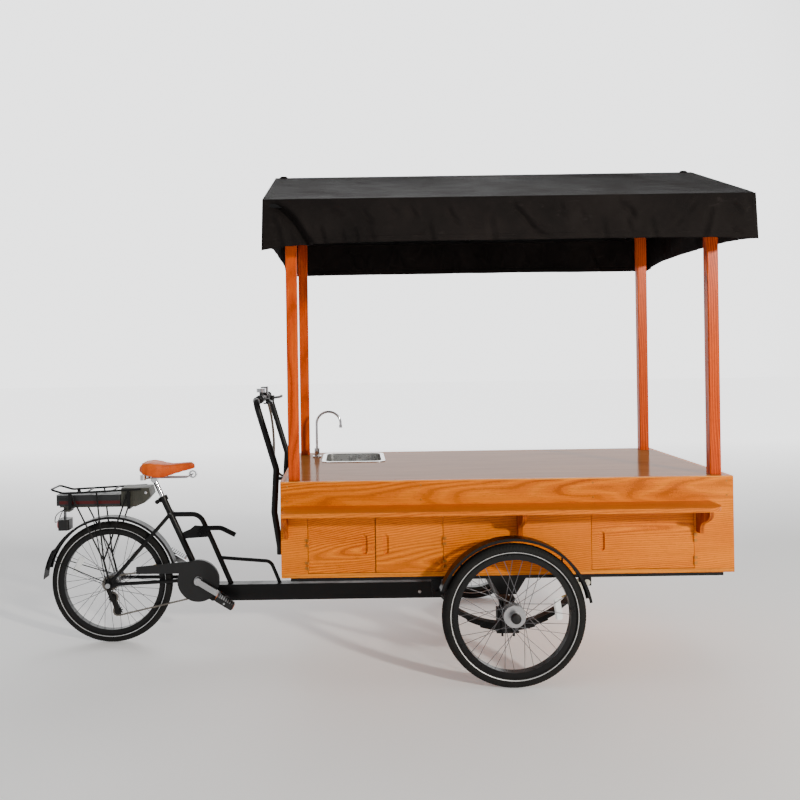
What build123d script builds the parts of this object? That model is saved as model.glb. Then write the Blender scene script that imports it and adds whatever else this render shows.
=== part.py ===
from build123d import *
import os
from math import acos, asin, atan2, cos, degrees, hypot, pi, radians, sin, tan

# A front-loading cargo tricycle with a wooden vending counter, a sink and a gable canopy.
# Millimetres. +X is the way it rides, +Z is up, and the rider's right side faces -Y.
# The origin is on the ground under the middle of the whole tricycle.

# Driving sizes: running gear
front_tyre_radius = 308
rear_tyre_radius = 303
front_tyre_width = 54
rear_tyre_width = 48
spindle_end = 17
wheel_to_box = 89
guard_side_gap = 4
guard_gap = 23
guard_thickness = 2
spoke_count = 36
spoke_radius = 1.3

# Driving sizes: counter box
box_length = 2000
box_width = 1000
box_above_axle = 137
counter_height = 870
board = 18
apron_depth = 108
shelf_width = 170
corbel_height = 118
chassis_rail_height = 20
chassis_rail_width = 40

# Driving sizes: canopy
canopy_overhang_x = 45
canopy_overhang_y = 147
eaves_above_counter = 1221
ridge_rise = 227
valance_height = 182
cover_thickness = 4
post_length_x = 50
post_width_y = 45
post_inset_x = 34
post_inset_y = 37.5
canopy_tube = 25

# Driving sizes: rear frame
crank_behind_box = 453
chainstay_length = 441
crank_height = 314
seat_angle = 65.8
seat_tube_length = 448
seat_tube_wall = 3.5
seat_post_radius = 12.5
seat_post_reach = 96
beam_height = 80
beam_width = 60
beam_top = 286
kingpin_behind_axle = 200
kingpin_radius = 20
dropout_half = 62
dropout_plate = 6
crank_length = 165
crank_angle = -31.7
chainring_teeth = 38
sprocket_teeth = 18
jockey_teeth = 11
chain_pitch = 12.7
chain_line = 45.5
flap_thickness = 3
flap_end_angle = 176

# Driving sizes: handlebar and steering
bar_radius = 15
bar_half_width = 309
bar_above_counter = 344
bar_behind_box = 126

# Named clearances
running = 0.05
slip = 0.3
door_gap = 2
press = 0.2

# Sizes worked out from the driving ones
front_guard_width = front_tyre_width + 2 * guard_side_gap
rear_guard_width = rear_tyre_width + 2 * guard_side_gap
track = box_width + 2 * wheel_to_box + front_guard_width
box_bottom = front_tyre_radius + box_above_axle
canopy_length = box_length + 2 * canopy_overhang_x
canopy_width = box_width + 2 * canopy_overhang_y
eaves_height = counter_height + eaves_above_counter
ridge_height = eaves_height + ridge_rise
crank_behind_axle = box_length / 2 + crank_behind_box
wheelbase = crank_behind_axle + chainstay_length
seat_tube_radius = seat_post_radius + seat_tube_wall
bar_top = counter_height + bar_above_counter
bar_behind_axle = box_length / 2 + bar_behind_box
guard_inner_rear = rear_tyre_radius + guard_gap + 1
flap_inner = guard_inner_rear + guard_thickness + 4
flap_outer = flap_inner + flap_thickness
rear_reach = wheelbase + flap_outer * cos(radians(180 - flap_end_angle))
front_reach = canopy_length / 2
front_axle_x = (rear_reach - front_reach) / 2
rear_axle_x = front_axle_x - wheelbase
crank_x = front_axle_x - crank_behind_axle
kingpin_x = front_axle_x - kingpin_behind_axle
half_box = box_length / 2
half_width = box_width / 2
floor_top = box_bottom + board
apron_bottom = counter_height - apron_depth
shelf_top = counter_height - apron_depth
shelf_bottom = shelf_top - board
chassis_bottom = box_bottom - chassis_rail_height
panel_top = apron_bottom


def ahead(distance):
    """X of a point that far in front of the front axle."""
    return front_axle_x + distance


def from_rear(distance):
    """X of a point that far in front of the rear axle."""
    return rear_axle_x + distance


# ---------------------------------------------------------------- plain building pieces


def block(x_span, y_span, z_span, corner=0):
    """A board or bar between two values along each axis, with rounded upright edges."""
    with BuildPart() as solid:
        with BuildSketch(Plane.XY.offset(z_span[0])):
            with Locations(((x_span[0] + x_span[1]) / 2, (y_span[0] + y_span[1]) / 2)):
                width = x_span[1] - x_span[0]
                depth = y_span[1] - y_span[0]
                if corner:
                    RectangleRounded(width, depth, corner)
                else:
                    Rectangle(width, depth)
        extrude(amount=z_span[1] - z_span[0])
    return solid.part


def plate(points, y_span, corner=0):
    """A flat plate whose outline lies in the side view, between two Y values."""
    with BuildPart() as solid:
        with BuildSketch(Plane.XZ.offset(-y_span[1])) as outline:
            with BuildLine():
                Polyline(*points, close=True)
            make_face()
            if corner:
                fillet(outline.vertices(), corner)
        extrude(amount=y_span[1] - y_span[0])
    return solid.part


def disc(centre, radius, y_span, bore=0):
    """A round piece whose axis runs along Y; centre is given as (x, z)."""
    with BuildPart() as solid:
        with BuildSketch(Plane.XZ.offset(-y_span[1])):
            with Locations(centre):
                Circle(radius)
                if bore:
                    Circle(bore, mode=Mode.SUBTRACT)
        extrude(amount=y_span[1] - y_span[0])
    return solid.part


def upright(centre, radius, z_span, bore=0):
    """A round piece whose axis runs along Z; centre is given as (x, y)."""
    with BuildPart() as solid:
        with BuildSketch(Plane.XY.offset(z_span[0])):
            with Locations(centre):
                Circle(radius)
                if bore:
                    Circle(bore, mode=Mode.SUBTRACT)
        extrude(amount=z_span[1] - z_span[0])
    return solid.part


def rod(points, radius, bends=None):
    """A round bar along straight runs, joined by tangent bends where radii are given."""
    with BuildPart() as solid:
        with BuildLine() as path:
            if bends:
                FilletPolyline(*points, radius=bends)
            else:
                Line(*points)
        with BuildSketch(Plane(origin=path.line @ 0, z_dir=path.line % 0)):
            Circle(radius)
        sweep(path=path.wire())
    return solid.part


def weld(*solids):
    """One node made of all the given solids."""
    with BuildPart() as group:
        add(list(solids))
    return group.part


def both_sides(solid):
    """The solid and its mirror image on the other side of the tricycle."""
    return [solid, mirror(solid, about=Plane.XZ)]


def sector(centre, radii, angles, y_span):
    """An arc-shaped band in the side view; angles are measured up from +X."""
    inner, outer = radii
    start, end = angles
    with BuildPart() as solid:
        with BuildSketch(Plane.XZ.offset(-y_span[1])):
            with BuildLine():
                far = CenterArc(centre, outer, start, end - start)
                near = CenterArc(centre, inner, start, end - start)
                Line(far @ 0, near @ 0)
                Line(far @ 1, near @ 1)
            make_face()
        extrude(amount=y_span[1] - y_span[0])
    return solid.part


def on_circle(centre, radius, angle):
    """The (x, z) point at an angle up from +X on a circle in the side view."""
    return (centre[0] + radius * cos(radians(angle)), centre[1] + radius * sin(radians(angle)))


# ---------------------------------------------------------------- wheels

rim_cut = {front_tyre_radius: 46, rear_tyre_radius: 42}
rim_depth = 22
tyre_wall = 4


def rim_outer(tyre_radius):
    return tyre_radius - rim_cut[tyre_radius]


def tyre(centre, y, tyre_radius, width):
    """A tyre open towards the rim, as a ring of round section."""
    section = width / 2
    with BuildPart() as solid:
        with BuildSketch(Plane.YZ.offset(centre[0])):
            with Locations((y, centre[1] + tyre_radius - section)):
                Circle(section)
                Circle(section - tyre_wall, mode=Mode.SUBTRACT)
            with Locations((y, centre[1] + rim_outer(tyre_radius) - section)):
                Rectangle(width, width, mode=Mode.SUBTRACT)
        revolve(axis=Axis((centre[0], y, centre[1]), (0, 1, 0)))
    return solid.part


def rim_half_width(tyre_radius, width):
    section = width / 2
    rise = tyre_radius - section - rim_outer(tyre_radius)
    return (section**2 - rise**2) ** 0.5


def rim(centre, y, tyre_radius, width):
    """A channel rim, open towards the tyre."""
    outer = rim_outer(tyre_radius) - slip
    half = rim_half_width(tyre_radius, width)
    channel = 8
    wall = 4
    with BuildPart() as ring:
        with BuildSketch(Plane.YZ.offset(centre[0])):
            with Locations((y, centre[1] + outer - rim_depth / 2)):
                Rectangle(2 * half, rim_depth)
            with Locations((y, centre[1] + outer - channel / 2)):
                Rectangle(2 * (half - wall), channel, mode=Mode.SUBTRACT)
        revolve(axis=Axis((centre[0], y, centre[1]), (0, 1, 0)))
    return ring.part


def spokes(centre, y, tyre_radius, flange_radius, flange_y):
    """Crossed spokes; each one runs from inside a hub flange to inside the rim."""
    wall = 4
    inner = rim_outer(tyre_radius) - slip - rim_depth
    lace_angle = 62
    solids = []
    for index in range(spoke_count):
        rim_angle = index * 360 / spoke_count
        side = 1 if index % 2 else -1
        lean = lace_angle if index % 4 < 2 else -lace_angle
        foot = on_circle(centre, flange_radius, rim_angle + lean)
        head = on_circle(centre, inner + wall, rim_angle)
        foot_point = (foot[0], y + side * flange_y, foot[1])
        head_point = (head[0], y + side * wall, head[1])
        solids.append(rod([foot_point, head_point], spoke_radius))
    return solids


def hub(centre, y, tyre_radius, barrel, flange_radius, flange_y, half_length, axle_radius):
    """A hub barrel with two flanges and its spokes, bored to turn on its axle."""
    flange = 4
    parts = [
        disc(centre, barrel, (y - half_length, y + half_length)),
        disc(centre, flange_radius + flange, (y - flange_y - flange / 2, y - flange_y + flange / 2)),
        disc(centre, flange_radius + flange, (y + flange_y - flange / 2, y + flange_y + flange / 2)),
    ]
    with BuildPart() as solid:
        add(parts)
        add(spokes(centre, y, tyre_radius, flange_radius, flange_y))
        add(disc(centre, axle_radius + running, (y - half_length, y + half_length)), mode=Mode.SUBTRACT)
    return solid.part


front_axle = (front_axle_x, front_tyre_radius)
rear_axle = (rear_axle_x, rear_tyre_radius)
front_axle_radius = 10
rear_axle_radius = 6
front_hub_half = 43
hub_to_hub = track + 2 * (front_hub_half + spindle_end)
front_flange_radius = 43
front_flange_y = 22
front_barrel = 24
rear_hub_half = 34
rear_flange_radius = 33
rear_flange_y = 20
rear_barrel = 26


def front_wheel(side):
    """The tyre, the rim and the laced hub of one front wheel."""
    y = side * track / 2
    return (
        tyre(front_axle, y, front_tyre_radius, front_tyre_width),
        rim(front_axle, y, front_tyre_radius, front_tyre_width),
        hub(front_axle, y, front_tyre_radius, front_barrel, front_flange_radius, front_flange_y,
            front_hub_half, front_axle_radius),
    )


# ---------------------------------------------------------------- mudguards


def guard(centre, y, inner, width, start, end):
    """A curved mudguard channel with short side skirts, from one angle to another."""
    skirt = 12
    along = (sin(radians(end)), 0, -cos(radians(end)))
    with BuildPart() as solid:
        with BuildSketch(Plane(origin=(centre[0], y, centre[1]), x_dir=(0, 1, 0), z_dir=along)):
            with Locations((0, inner + guard_thickness - skirt / 2)):
                Rectangle(width, skirt)
            with Locations((0, inner - skirt / 2)):
                Rectangle(width - 2 * guard_thickness, skirt, mode=Mode.SUBTRACT)
        revolve(axis=Axis((centre[0], y, centre[1]), (0, 1, 0)), revolution_arc=end - start)
    return solid.part


front_guard_angles = (10, 160)
rear_guard_angles = (16, 168)
flap_start_angle = 150


def front_mudguards():
    """Two guards, each on two stays bolted to the side of the chassis rail."""
    inner = front_tyre_radius + guard_gap
    y = track / 2
    guard_side = y - front_guard_width / 2
    stay_radius = 4
    foot = 6
    stay_z = box_bottom - chassis_rail_height / 2
    solids = [guard(front_axle, y, inner, front_guard_width, *front_guard_angles)]
    for angle in (48, 132):
        top = on_circle(front_axle, inner - 6, angle)
        foot_x = top[0]
        stay = [(foot_x, half_width - 20 + foot / 2, stay_z), (foot_x, guard_side - 20, stay_z + 8),
                (top[0], guard_side + 1, top[1])]
        solids.append(rod(stay, stay_radius, 14))
        solids.append(block((foot_x - 12, foot_x + 12), (half_width - 20, half_width - 20 + foot),
                            (stay_z - 8, stay_z + 8)))
    return weld(*both_sides(weld(*solids)))


def rear_mudguard():
    """The rear guard, its wide rear flap and the wire stays from the axle ends."""
    inner = guard_inner_rear
    stay_radius = 2.5
    flap_width = 70
    rivet = 5
    solids = [guard(rear_axle, 0, inner, rear_guard_width, *rear_guard_angles),
              sector(rear_axle, (flap_inner, flap_outer), (flap_start_angle, flap_end_angle),
                     (-flap_width / 2, flap_width / 2))]
    for angle in (153, 164):
        joint = on_circle(rear_axle, inner + guard_thickness / 2, angle)
        outside = on_circle(rear_axle, flap_outer, angle)
        solids.append(rod([(joint[0], 0, joint[1]), (outside[0], 0, outside[1])], rivet))
    foot = (rear_axle_x - 12, rear_axle[1] + 14)
    eyelet = 10
    dropout_outer = dropout_half + dropout_plate
    foot_y = dropout_outer + eyelet - stay_radius
    solids += both_sides(disc(foot, 4, (dropout_outer, dropout_outer + eyelet)))
    for angle in (105, 158):
        top = on_circle(rear_axle, inner - 4, angle)
        for side in (-1, 1):
            solids.append(rod([(foot[0], side * foot_y, foot[1]),
                               (top[0], side * (rear_guard_width / 2 - 1), top[1])], stay_radius))
    return weld(*solids)


# ---------------------------------------------------------------- chassis, springs and front axle

chassis_half_length = half_box - 40
kingpin_bottom = 180


def chassis_frame():
    """The welded frame under the box, its spring hangers and the kingpin."""
    rail = chassis_rail_width
    y_out = half_width - 20
    z_span = (chassis_bottom, box_bottom)
    x_span = (ahead(-chassis_half_length), ahead(chassis_half_length))
    solids = [block(x_span, (y_out - rail, y_out), z_span), block(x_span, (-y_out, rail - y_out), z_span)]
    across = (-y_out + rail - 1, y_out - rail + 1)
    for position in (-chassis_half_length, -620, -kingpin_behind_axle - 90, -kingpin_behind_axle + 50,
                     330, chassis_half_length - rail):
        solids.append(block((ahead(position), ahead(position + rail)), across, z_span))
    plate_half = 60
    solids.append(block((kingpin_x - 1.5 * plate_half, kingpin_x + 1.5 * plate_half),
                        (-plate_half, plate_half), (chassis_bottom, chassis_bottom + 8)))
    sleeve = 32
    solids.append(upright((kingpin_x, 0), sleeve, (beam_top + 14 + slip, chassis_bottom + 1)))
    solids.append(upright((kingpin_x, 0), kingpin_radius, (kingpin_bottom, chassis_bottom + 1)))
    for side in (-1, 1):
        spring_y = side * spring_centre_y
        for eye_x, drop in ((spring_eye_rear, eye_height), (spring_eye_front, hanger_pin_height)):
            for offset in (-hanger_half, hanger_half - hanger_plate):
                y_span = (spring_y + offset, spring_y + offset + hanger_plate)
                solids.append(block((eye_x - 20, eye_x + 20), y_span, (drop - 16, chassis_bottom + 1)))
        pedestal_top = (ahead(-77), chassis_bottom + 1)
        pedestal_bottom = front_tyre_radius + axle_square / 2 + 24
        points = [pedestal_top, (ahead(86), chassis_bottom + 1), (ahead(40), pedestal_bottom),
                  (ahead(-32), pedestal_bottom)]
        solids.append(plate(points, (spring_y - 18, spring_y + 18)))
    pins = [disc((eye_x, height), pin_radius + running, (-half_width, half_width))
            for eye_x, height in ((spring_eye_rear, eye_height), (spring_eye_front, hanger_pin_height))]
    with BuildPart() as frame:
        add(solids)
        add(pins, mode=Mode.SUBTRACT)
    return frame.part


spring_centre_y = half_width - 45
spring_half_chord = 312
spring_sag = 150
leaf_thickness = 6
leaf_count = 5
leaf_width = 45
eye_height = chassis_bottom - 53
eye_radius = 14
pin_radius = 6
hanger_half = 29
hanger_plate = 5
spring_eye_rear = ahead(-312)
spring_eye_front = ahead(352)
hanger_pin_height = chassis_bottom - 20


def leaf_springs():
    """Leaf packs slung under the axle, with U-bolts, pins and swinging shackles."""
    radius = (spring_half_chord**2 + spring_sag**2) / (2 * spring_sag)
    half_angle = degrees(asin(spring_half_chord / radius))
    centre = (front_axle_x, eye_height - spring_sag + radius)
    half = leaf_width / 2
    span = (spring_centre_y - half, spring_centre_y + half)
    solids = []
    for index in range(leaf_count):
        inner = radius + index * (leaf_thickness + slip)
        reach = half_angle * (1 - 0.17 * index)
        solids.append(sector(centre, (inner, inner + leaf_thickness), (270 - reach, 270 + reach), span))
    bottom_z = eye_height - spring_sag - leaf_count * (leaf_thickness + slip)
    top_z = eye_height - spring_sag
    for end in (-1, 1):
        eye_x = front_axle_x + end * spring_half_chord
        solids.append(disc((eye_x, eye_height), eye_radius, span))
        solids.append(disc((eye_x, eye_height), pin_radius,
                           (spring_centre_y - hanger_half - 12, spring_centre_y + hanger_half + 12)))
    shackle_low = (front_axle_x + spring_half_chord, eye_height)
    shackle_high = (spring_eye_front, hanger_pin_height)
    tilt = atan2(shackle_high[1] - shackle_low[1], shackle_high[0] - shackle_low[0])
    for side in (-1, 1):
        y_in = spring_centre_y + side * (hanger_half + 3)
        y_span = (min(y_in, y_in + side * 5), max(y_in, y_in + side * 5))
        middle = ((shackle_low[0] + shackle_high[0]) / 2, (shackle_low[1] + shackle_high[1]) / 2)
        length = hypot(shackle_high[0] - shackle_low[0], shackle_high[1] - shackle_low[1])
        with BuildPart() as shackle:
            with BuildSketch(Plane.XZ.offset(-y_span[1])):
                with Locations(Location((middle[0], middle[1], 0), (0, 0, degrees(tilt)))):
                    SlotCenterToCenter(length, 26)
            extrude(amount=y_span[1] - y_span[0])
        solids.append(shackle.part)
    solids.append(disc(shackle_high, pin_radius,
                       (spring_centre_y - hanger_half - 12, spring_centre_y + hanger_half + 12)))
    seat_top = front_tyre_radius - axle_square / 2
    solids.append(block((ahead(-45), ahead(45)), span, (top_z - 1, seat_top)))
    solids.append(block((ahead(-50), ahead(50)), (span[0] - 6, span[1] + 6), (bottom_z - 8, bottom_z + 1)))
    bolt = 5
    bridge = 12
    bridge_low = front_tyre_radius + axle_square / 2 + slip
    for offset in (-axle_square / 2 - bolt - slip, axle_square / 2 + bolt + slip):
        x = front_axle_x + offset
        for y in (span[0] - bolt, span[1] + bolt):
            solids.append(upright((x, y), bolt, (bottom_z - 20, bridge_low + bridge / 2)))
        solids.append(block((x - bridge / 2, x + bridge / 2), (span[0] - bridge, span[1] + bridge),
                            (bridge_low, bridge_low + bridge)))
    return weld(*both_sides(weld(*solids)))


axle_square = 40
axle_beam_half = track / 2 - front_hub_half - 5


def front_axle_beam():
    """A square axle beam with a round spindle, a cap nut and a washer at each end."""
    nut_start = track / 2 + front_hub_half + 1
    side = axle_square / 2
    solids = [block((front_axle_x - side, front_axle_x + side), (-axle_beam_half, axle_beam_half),
                    (front_tyre_radius - side, front_tyre_radius + side)),
              disc(front_axle, front_axle_radius, (-hub_to_hub / 2, hub_to_hub / 2))]
    for y_span in ((nut_start, hub_to_hub / 2), (-hub_to_hub / 2, -nut_start)):
        solids.append(disc(front_axle, 19, y_span))
    return weld(*solids)


# ---------------------------------------------------------------- counter box

door_bottom = floor_top + 3
door_top = shelf_bottom - 9
rear_door_start = -880
rear_door_end = -585
middle_door_start = -581
middle_door_end = -285
front_door_start = 372
front_door_end = 822
hinge_radius = 4
hinge_pin_radius = 2
hinge_heights = (door_bottom + 34, door_bottom + 134)
hinge_length = 36
hinge_leaf = 1.5
hinge_leaf_width = 14
partition_rear = -274
partition_front = 336
hinge_y = -half_width - hinge_radius


def box_floor():
    """The floor board, which shows as a pale strip all round the bottom of the box."""
    return block((ahead(-half_box), ahead(half_box)), (-half_width, half_width), (box_bottom, floor_top))


def side_panels():
    """The far side panel and the near one, which is cut out for the doors."""
    x_span = (ahead(-half_box), ahead(half_box))
    z_span = (floor_top, panel_top)
    openings = []
    for start, end in ((rear_door_start, middle_door_end), (front_door_start, front_door_end)):
        openings.append(block((ahead(start - door_gap), ahead(end + door_gap)),
                              (-half_width - 1, board - half_width + 1),
                              (floor_top - 1, door_top + door_gap)))
    with BuildPart() as panels:
        add(block(x_span, (half_width - board, half_width), z_span))
        add(block(x_span, (-half_width, board - half_width), z_span))
        add(openings, mode=Mode.SUBTRACT)
    return panels.part


def cross_panels():
    """The two end panels and the two partitions that make three lockers."""
    inside = (board - half_width, half_width - board)
    ends = []
    for start in (-half_box, half_box - board):
        ends.append(block((ahead(start), ahead(start + board)), inside, (floor_top, panel_top)))
    for start in (partition_rear, partition_front):
        ends.append(block((ahead(start), ahead(start + board)), inside, (floor_top, counter_height - board)))
    return weld(*ends)


def apron_boards():
    """The deep frame of boards round the edge of the counter."""
    with BuildPart() as apron:
        with BuildSketch(Plane.XY.offset(apron_bottom)):
            with Locations((front_axle_x, 0)):
                Rectangle(box_length, box_width)
                Rectangle(box_length - 2 * board, box_width - 2 * board, mode=Mode.SUBTRACT)
        extrude(amount=apron_depth)
    return apron.part


sink_rear = -839
sink_length = 330
sink_depth_y = 359
sink_near_y = 94
sink_corner = 40
sink_rim_corner = 48
sink_seat = 3
sink_rim = 20
sink_drop = 150
sink_wall = 2
sink_lip = 3
drain_radius = 22


def sink_centre():
    return (ahead(sink_rear + sink_length / 2), sink_near_y + sink_depth_y / 2)


def counter_top():
    """The glossy board inside the apron, cut for the posts and the tap and stepped for the sink."""
    cut_x = sink_length - 2 * sink_rim + 2 * sink_wall + 4
    cut_y = sink_depth_y - 2 * sink_rim + 2 * sink_wall + 4
    with BuildPart() as top:
        with BuildSketch(Plane.XY.offset(counter_height - board)):
            with Locations((front_axle_x, 0)):
                Rectangle(box_length - 2 * board, box_width - 2 * board)
            with Locations(sink_centre()):
                RectangleRounded(cut_x, cut_y, sink_corner + sink_wall, mode=Mode.SUBTRACT)
            with Locations([(ahead(x), y) for x in (-post_x, post_x) for y in (-post_y, post_y)]):
                Rectangle(post_length_x + 2 * slip, post_width_y + 2 * slip, mode=Mode.SUBTRACT)
            with Locations((tap_x, tap_y)):
                Circle(tap_flange + slip, mode=Mode.SUBTRACT)
        extrude(amount=board)
        with BuildSketch(Plane.XY.offset(counter_height - sink_seat)):
            with Locations(sink_centre()):
                RectangleRounded(sink_length + 2 * slip, sink_depth_y + 2 * slip, sink_rim_corner + slip)
        extrude(amount=sink_seat, mode=Mode.SUBTRACT)
    return top.part


def sink_bowl():
    """A pressed bowl whose raised rim sits in a step of the counter, with a drain hole."""
    inner_x = sink_length - 2 * sink_rim
    inner_y = sink_depth_y - 2 * sink_rim
    bottom = counter_height - sink_drop
    with BuildPart() as bowl:
        with BuildSketch(Plane.XY.offset(counter_height - sink_seat)):
            with Locations(sink_centre()):
                RectangleRounded(sink_length, sink_depth_y, sink_rim_corner)
        extrude(amount=sink_seat + sink_lip)
        with BuildSketch(Plane.XY.offset(bottom)):
            with Locations(sink_centre()):
                RectangleRounded(inner_x + 2 * sink_wall, inner_y + 2 * sink_wall, sink_corner)
        extrude(amount=sink_drop)
        with BuildSketch(Plane.XY.offset(bottom + sink_wall)):
            with Locations(sink_centre()):
                RectangleRounded(inner_x, inner_y, sink_corner)
        extrude(amount=sink_drop + sink_lip, mode=Mode.SUBTRACT)
        with BuildSketch(Plane.XY.offset(bottom)):
            with Locations(sink_centre()):
                Circle(drain_radius)
        extrude(amount=sink_wall, mode=Mode.SUBTRACT)
    return bowl.part


def water_system():
    """Waste and fresh water tanks, the drain pipe with its strainer, and the pump."""
    x, y = sink_centre()
    bowl_bottom = counter_height - sink_drop
    tank_top = 655
    tank_half = 95
    tank_gap = 130
    solids = []
    for centre_x in (x, x + 2 * tank_gap):
        solids.append(block((centre_x - tank_half, centre_x + tank_half),
                            (y - tank_half - 30, y + tank_half + 30), (floor_top, tank_top), 25))
        solids.append(upright((centre_x, y), 24, (tank_top - 1, tank_top + 18)))
    solids.append(upright((x, y), 30, (bowl_bottom - 6, bowl_bottom)))
    solids.append(upright((x, y), drain_radius - slip, (bowl_bottom - 6, bowl_bottom + sink_wall)))
    solids.append(upright((x, y), 16, (tank_top + 17, bowl_bottom - 5)))
    pump_x = x - tank_half - 45
    solids.append(block((pump_x - 25, pump_x + 25), (y - 60, y + 60), (floor_top, floor_top + 50), 8))
    return weld(*solids)


def side_shelf():
    """The folding-height side shelf, rounded at its front outer corner."""
    x_span = (ahead(-985), ahead(893))
    corner = 70
    with BuildPart() as shelf:
        with BuildSketch(Plane.XY.offset(shelf_bottom)) as outline:
            with Locations(((x_span[0] + x_span[1]) / 2, -half_width - shelf_width / 2)):
                Rectangle(x_span[1] - x_span[0], shelf_width)
            outer = outline.vertices().sort_by(Axis.Y)[:2].sort_by(Axis.X)[-1]
            fillet(outer, corner)
        extrude(amount=board)
    return shelf.part


corbel_positions = (-976, 50, 842)


def shelf_corbels():
    """Three curved wooden brackets that carry the shelf."""
    depth = 140
    foot = 40
    solids = []
    for position in corbel_positions:
        with BuildPart() as corbel:
            with BuildSketch(Plane.YZ.offset(ahead(position) - board / 2)):
                with BuildLine():
                    top = Line((-half_width, shelf_bottom), (-half_width - depth, shelf_bottom))
                    nose = Line(top @ 1, (-half_width - depth, shelf_bottom - 22))
                    sweep_in = Spline(nose @ 1, (-half_width - foot - 38, shelf_bottom - 62),
                                      (-half_width - foot, shelf_bottom - corbel_height + 12),
                                      tangents=((0.6, -1), (0, -1)))
                    lip = Line(sweep_in @ 1, (-half_width - foot, shelf_bottom - corbel_height))
                    low = Line(lip @ 1, (-half_width, shelf_bottom - corbel_height))
                    Line(low @ 1, top @ 0)
                make_face()
            extrude(amount=board)
        solids.append(corbel.part)
    return weld(*solids)


def hinge_side(door):
    """Where each door is hung: +1 on its front edge and -1 on its rear edge."""
    return {"rear": -1, "middle": 1, "front": 1}[door]


def door_span(door):
    return {
        "rear": (rear_door_start, rear_door_end),
        "middle": (middle_door_start, middle_door_end),
        "front": (front_door_start, front_door_end),
    }[door]


def door_axis(door):
    """X of the upright hinge line, in the gap beside the door."""
    start, end = door_span(door)
    return ahead(end + door_gap / 2) if hinge_side(door) > 0 else ahead(start - door_gap / 2)


def hinge_leaf_span(door, outward):
    """X span of a hinge leaf, on the panel when outward is true, else on the door."""
    reach = hinge_side(door) * hinge_leaf_width * (1 if outward else -1)
    axis = door_axis(door)
    return (min(axis, axis + reach), max(axis, axis + reach))


def door(name):
    """A flush door with a routed finger pull and its halves of two hinges."""
    start, end = door_span(name)
    pull_width = 24
    pull_height = 84
    pull_depth = 9
    pull_inset = 45
    side = hinge_side(name)
    pull_x = ahead(start + pull_inset) if side > 0 else ahead(end - pull_inset)
    pull_z = (door_bottom + door_top) / 2 - 11.5
    thickness = (-half_width, board - half_width - slip)
    knuckle = hinge_length / 3
    hinge_solids = []
    for height in hinge_heights:
        z_span = (height - knuckle / 2 + press, height + knuckle / 2 - press)
        hinge_solids.append(upright((door_axis(name), hinge_y), hinge_radius, z_span))
        hinge_solids.append(block(hinge_leaf_span(name, False),
                                  (-half_width - hinge_leaf, -half_width + 0.5), z_span))
    with BuildPart() as leaf:
        add(block((ahead(start), ahead(end)), thickness, (door_bottom, door_top)))
        with BuildSketch(Plane.XZ.offset(half_width - pull_depth)):
            with Locations((pull_x, pull_z)):
                SlotOverall(pull_height, pull_width, rotation=90)
        extrude(amount=pull_depth, mode=Mode.SUBTRACT)
        add(hinge_solids)
        for height in hinge_heights:
            bore_span = (height - hinge_length / 2, height + hinge_length / 2)
            bore = upright((door_axis(name), hinge_y), hinge_pin_radius + running, bore_span)
            add(bore, mode=Mode.SUBTRACT)
    return leaf.part


def door_hinges():
    """The fixed halves of the hinges, with their pins."""
    knuckle = hinge_length / 3
    solids = []
    for name in ("rear", "middle", "front"):
        centre = (door_axis(name), hinge_y)
        for height in hinge_heights:
            pin_span = (height - hinge_length / 2, height + hinge_length / 2)
            solids.append(upright(centre, hinge_pin_radius, pin_span))
            for low in (height - hinge_length / 2, height + knuckle / 2):
                z_span = (low, low + knuckle)
                solids.append(upright(centre, hinge_radius, z_span))
                solids.append(block(hinge_leaf_span(name, True),
                                    (-half_width - hinge_leaf, -half_width), z_span))
    return weld(*solids)


# ---------------------------------------------------------------- canopy

canopy_frame_top = eaves_height - 8
canopy_frame_bottom = canopy_frame_top - canopy_tube
post_x = half_box - post_inset_x - post_length_x / 2
post_y = half_width - post_inset_y - post_width_y / 2
roof_slope = (ridge_height - eaves_height) / (canopy_width / 2)
frame_half_x = canopy_length / 2 - cover_thickness - 8
frame_half_y = canopy_width / 2 - cover_thickness - 6


def canopy_posts():
    """Four wooden posts that stand on the floor board and pass up through the counter."""
    solids = []
    for x in (-post_x, post_x):
        for y in (-post_y, post_y):
            solids.append(block((ahead(x) - post_length_x / 2, ahead(x) + post_length_x / 2),
                                (y - post_width_y / 2, y + post_width_y / 2),
                                (floor_top, canopy_frame_bottom), 4))
    return weld(*solids)


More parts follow.
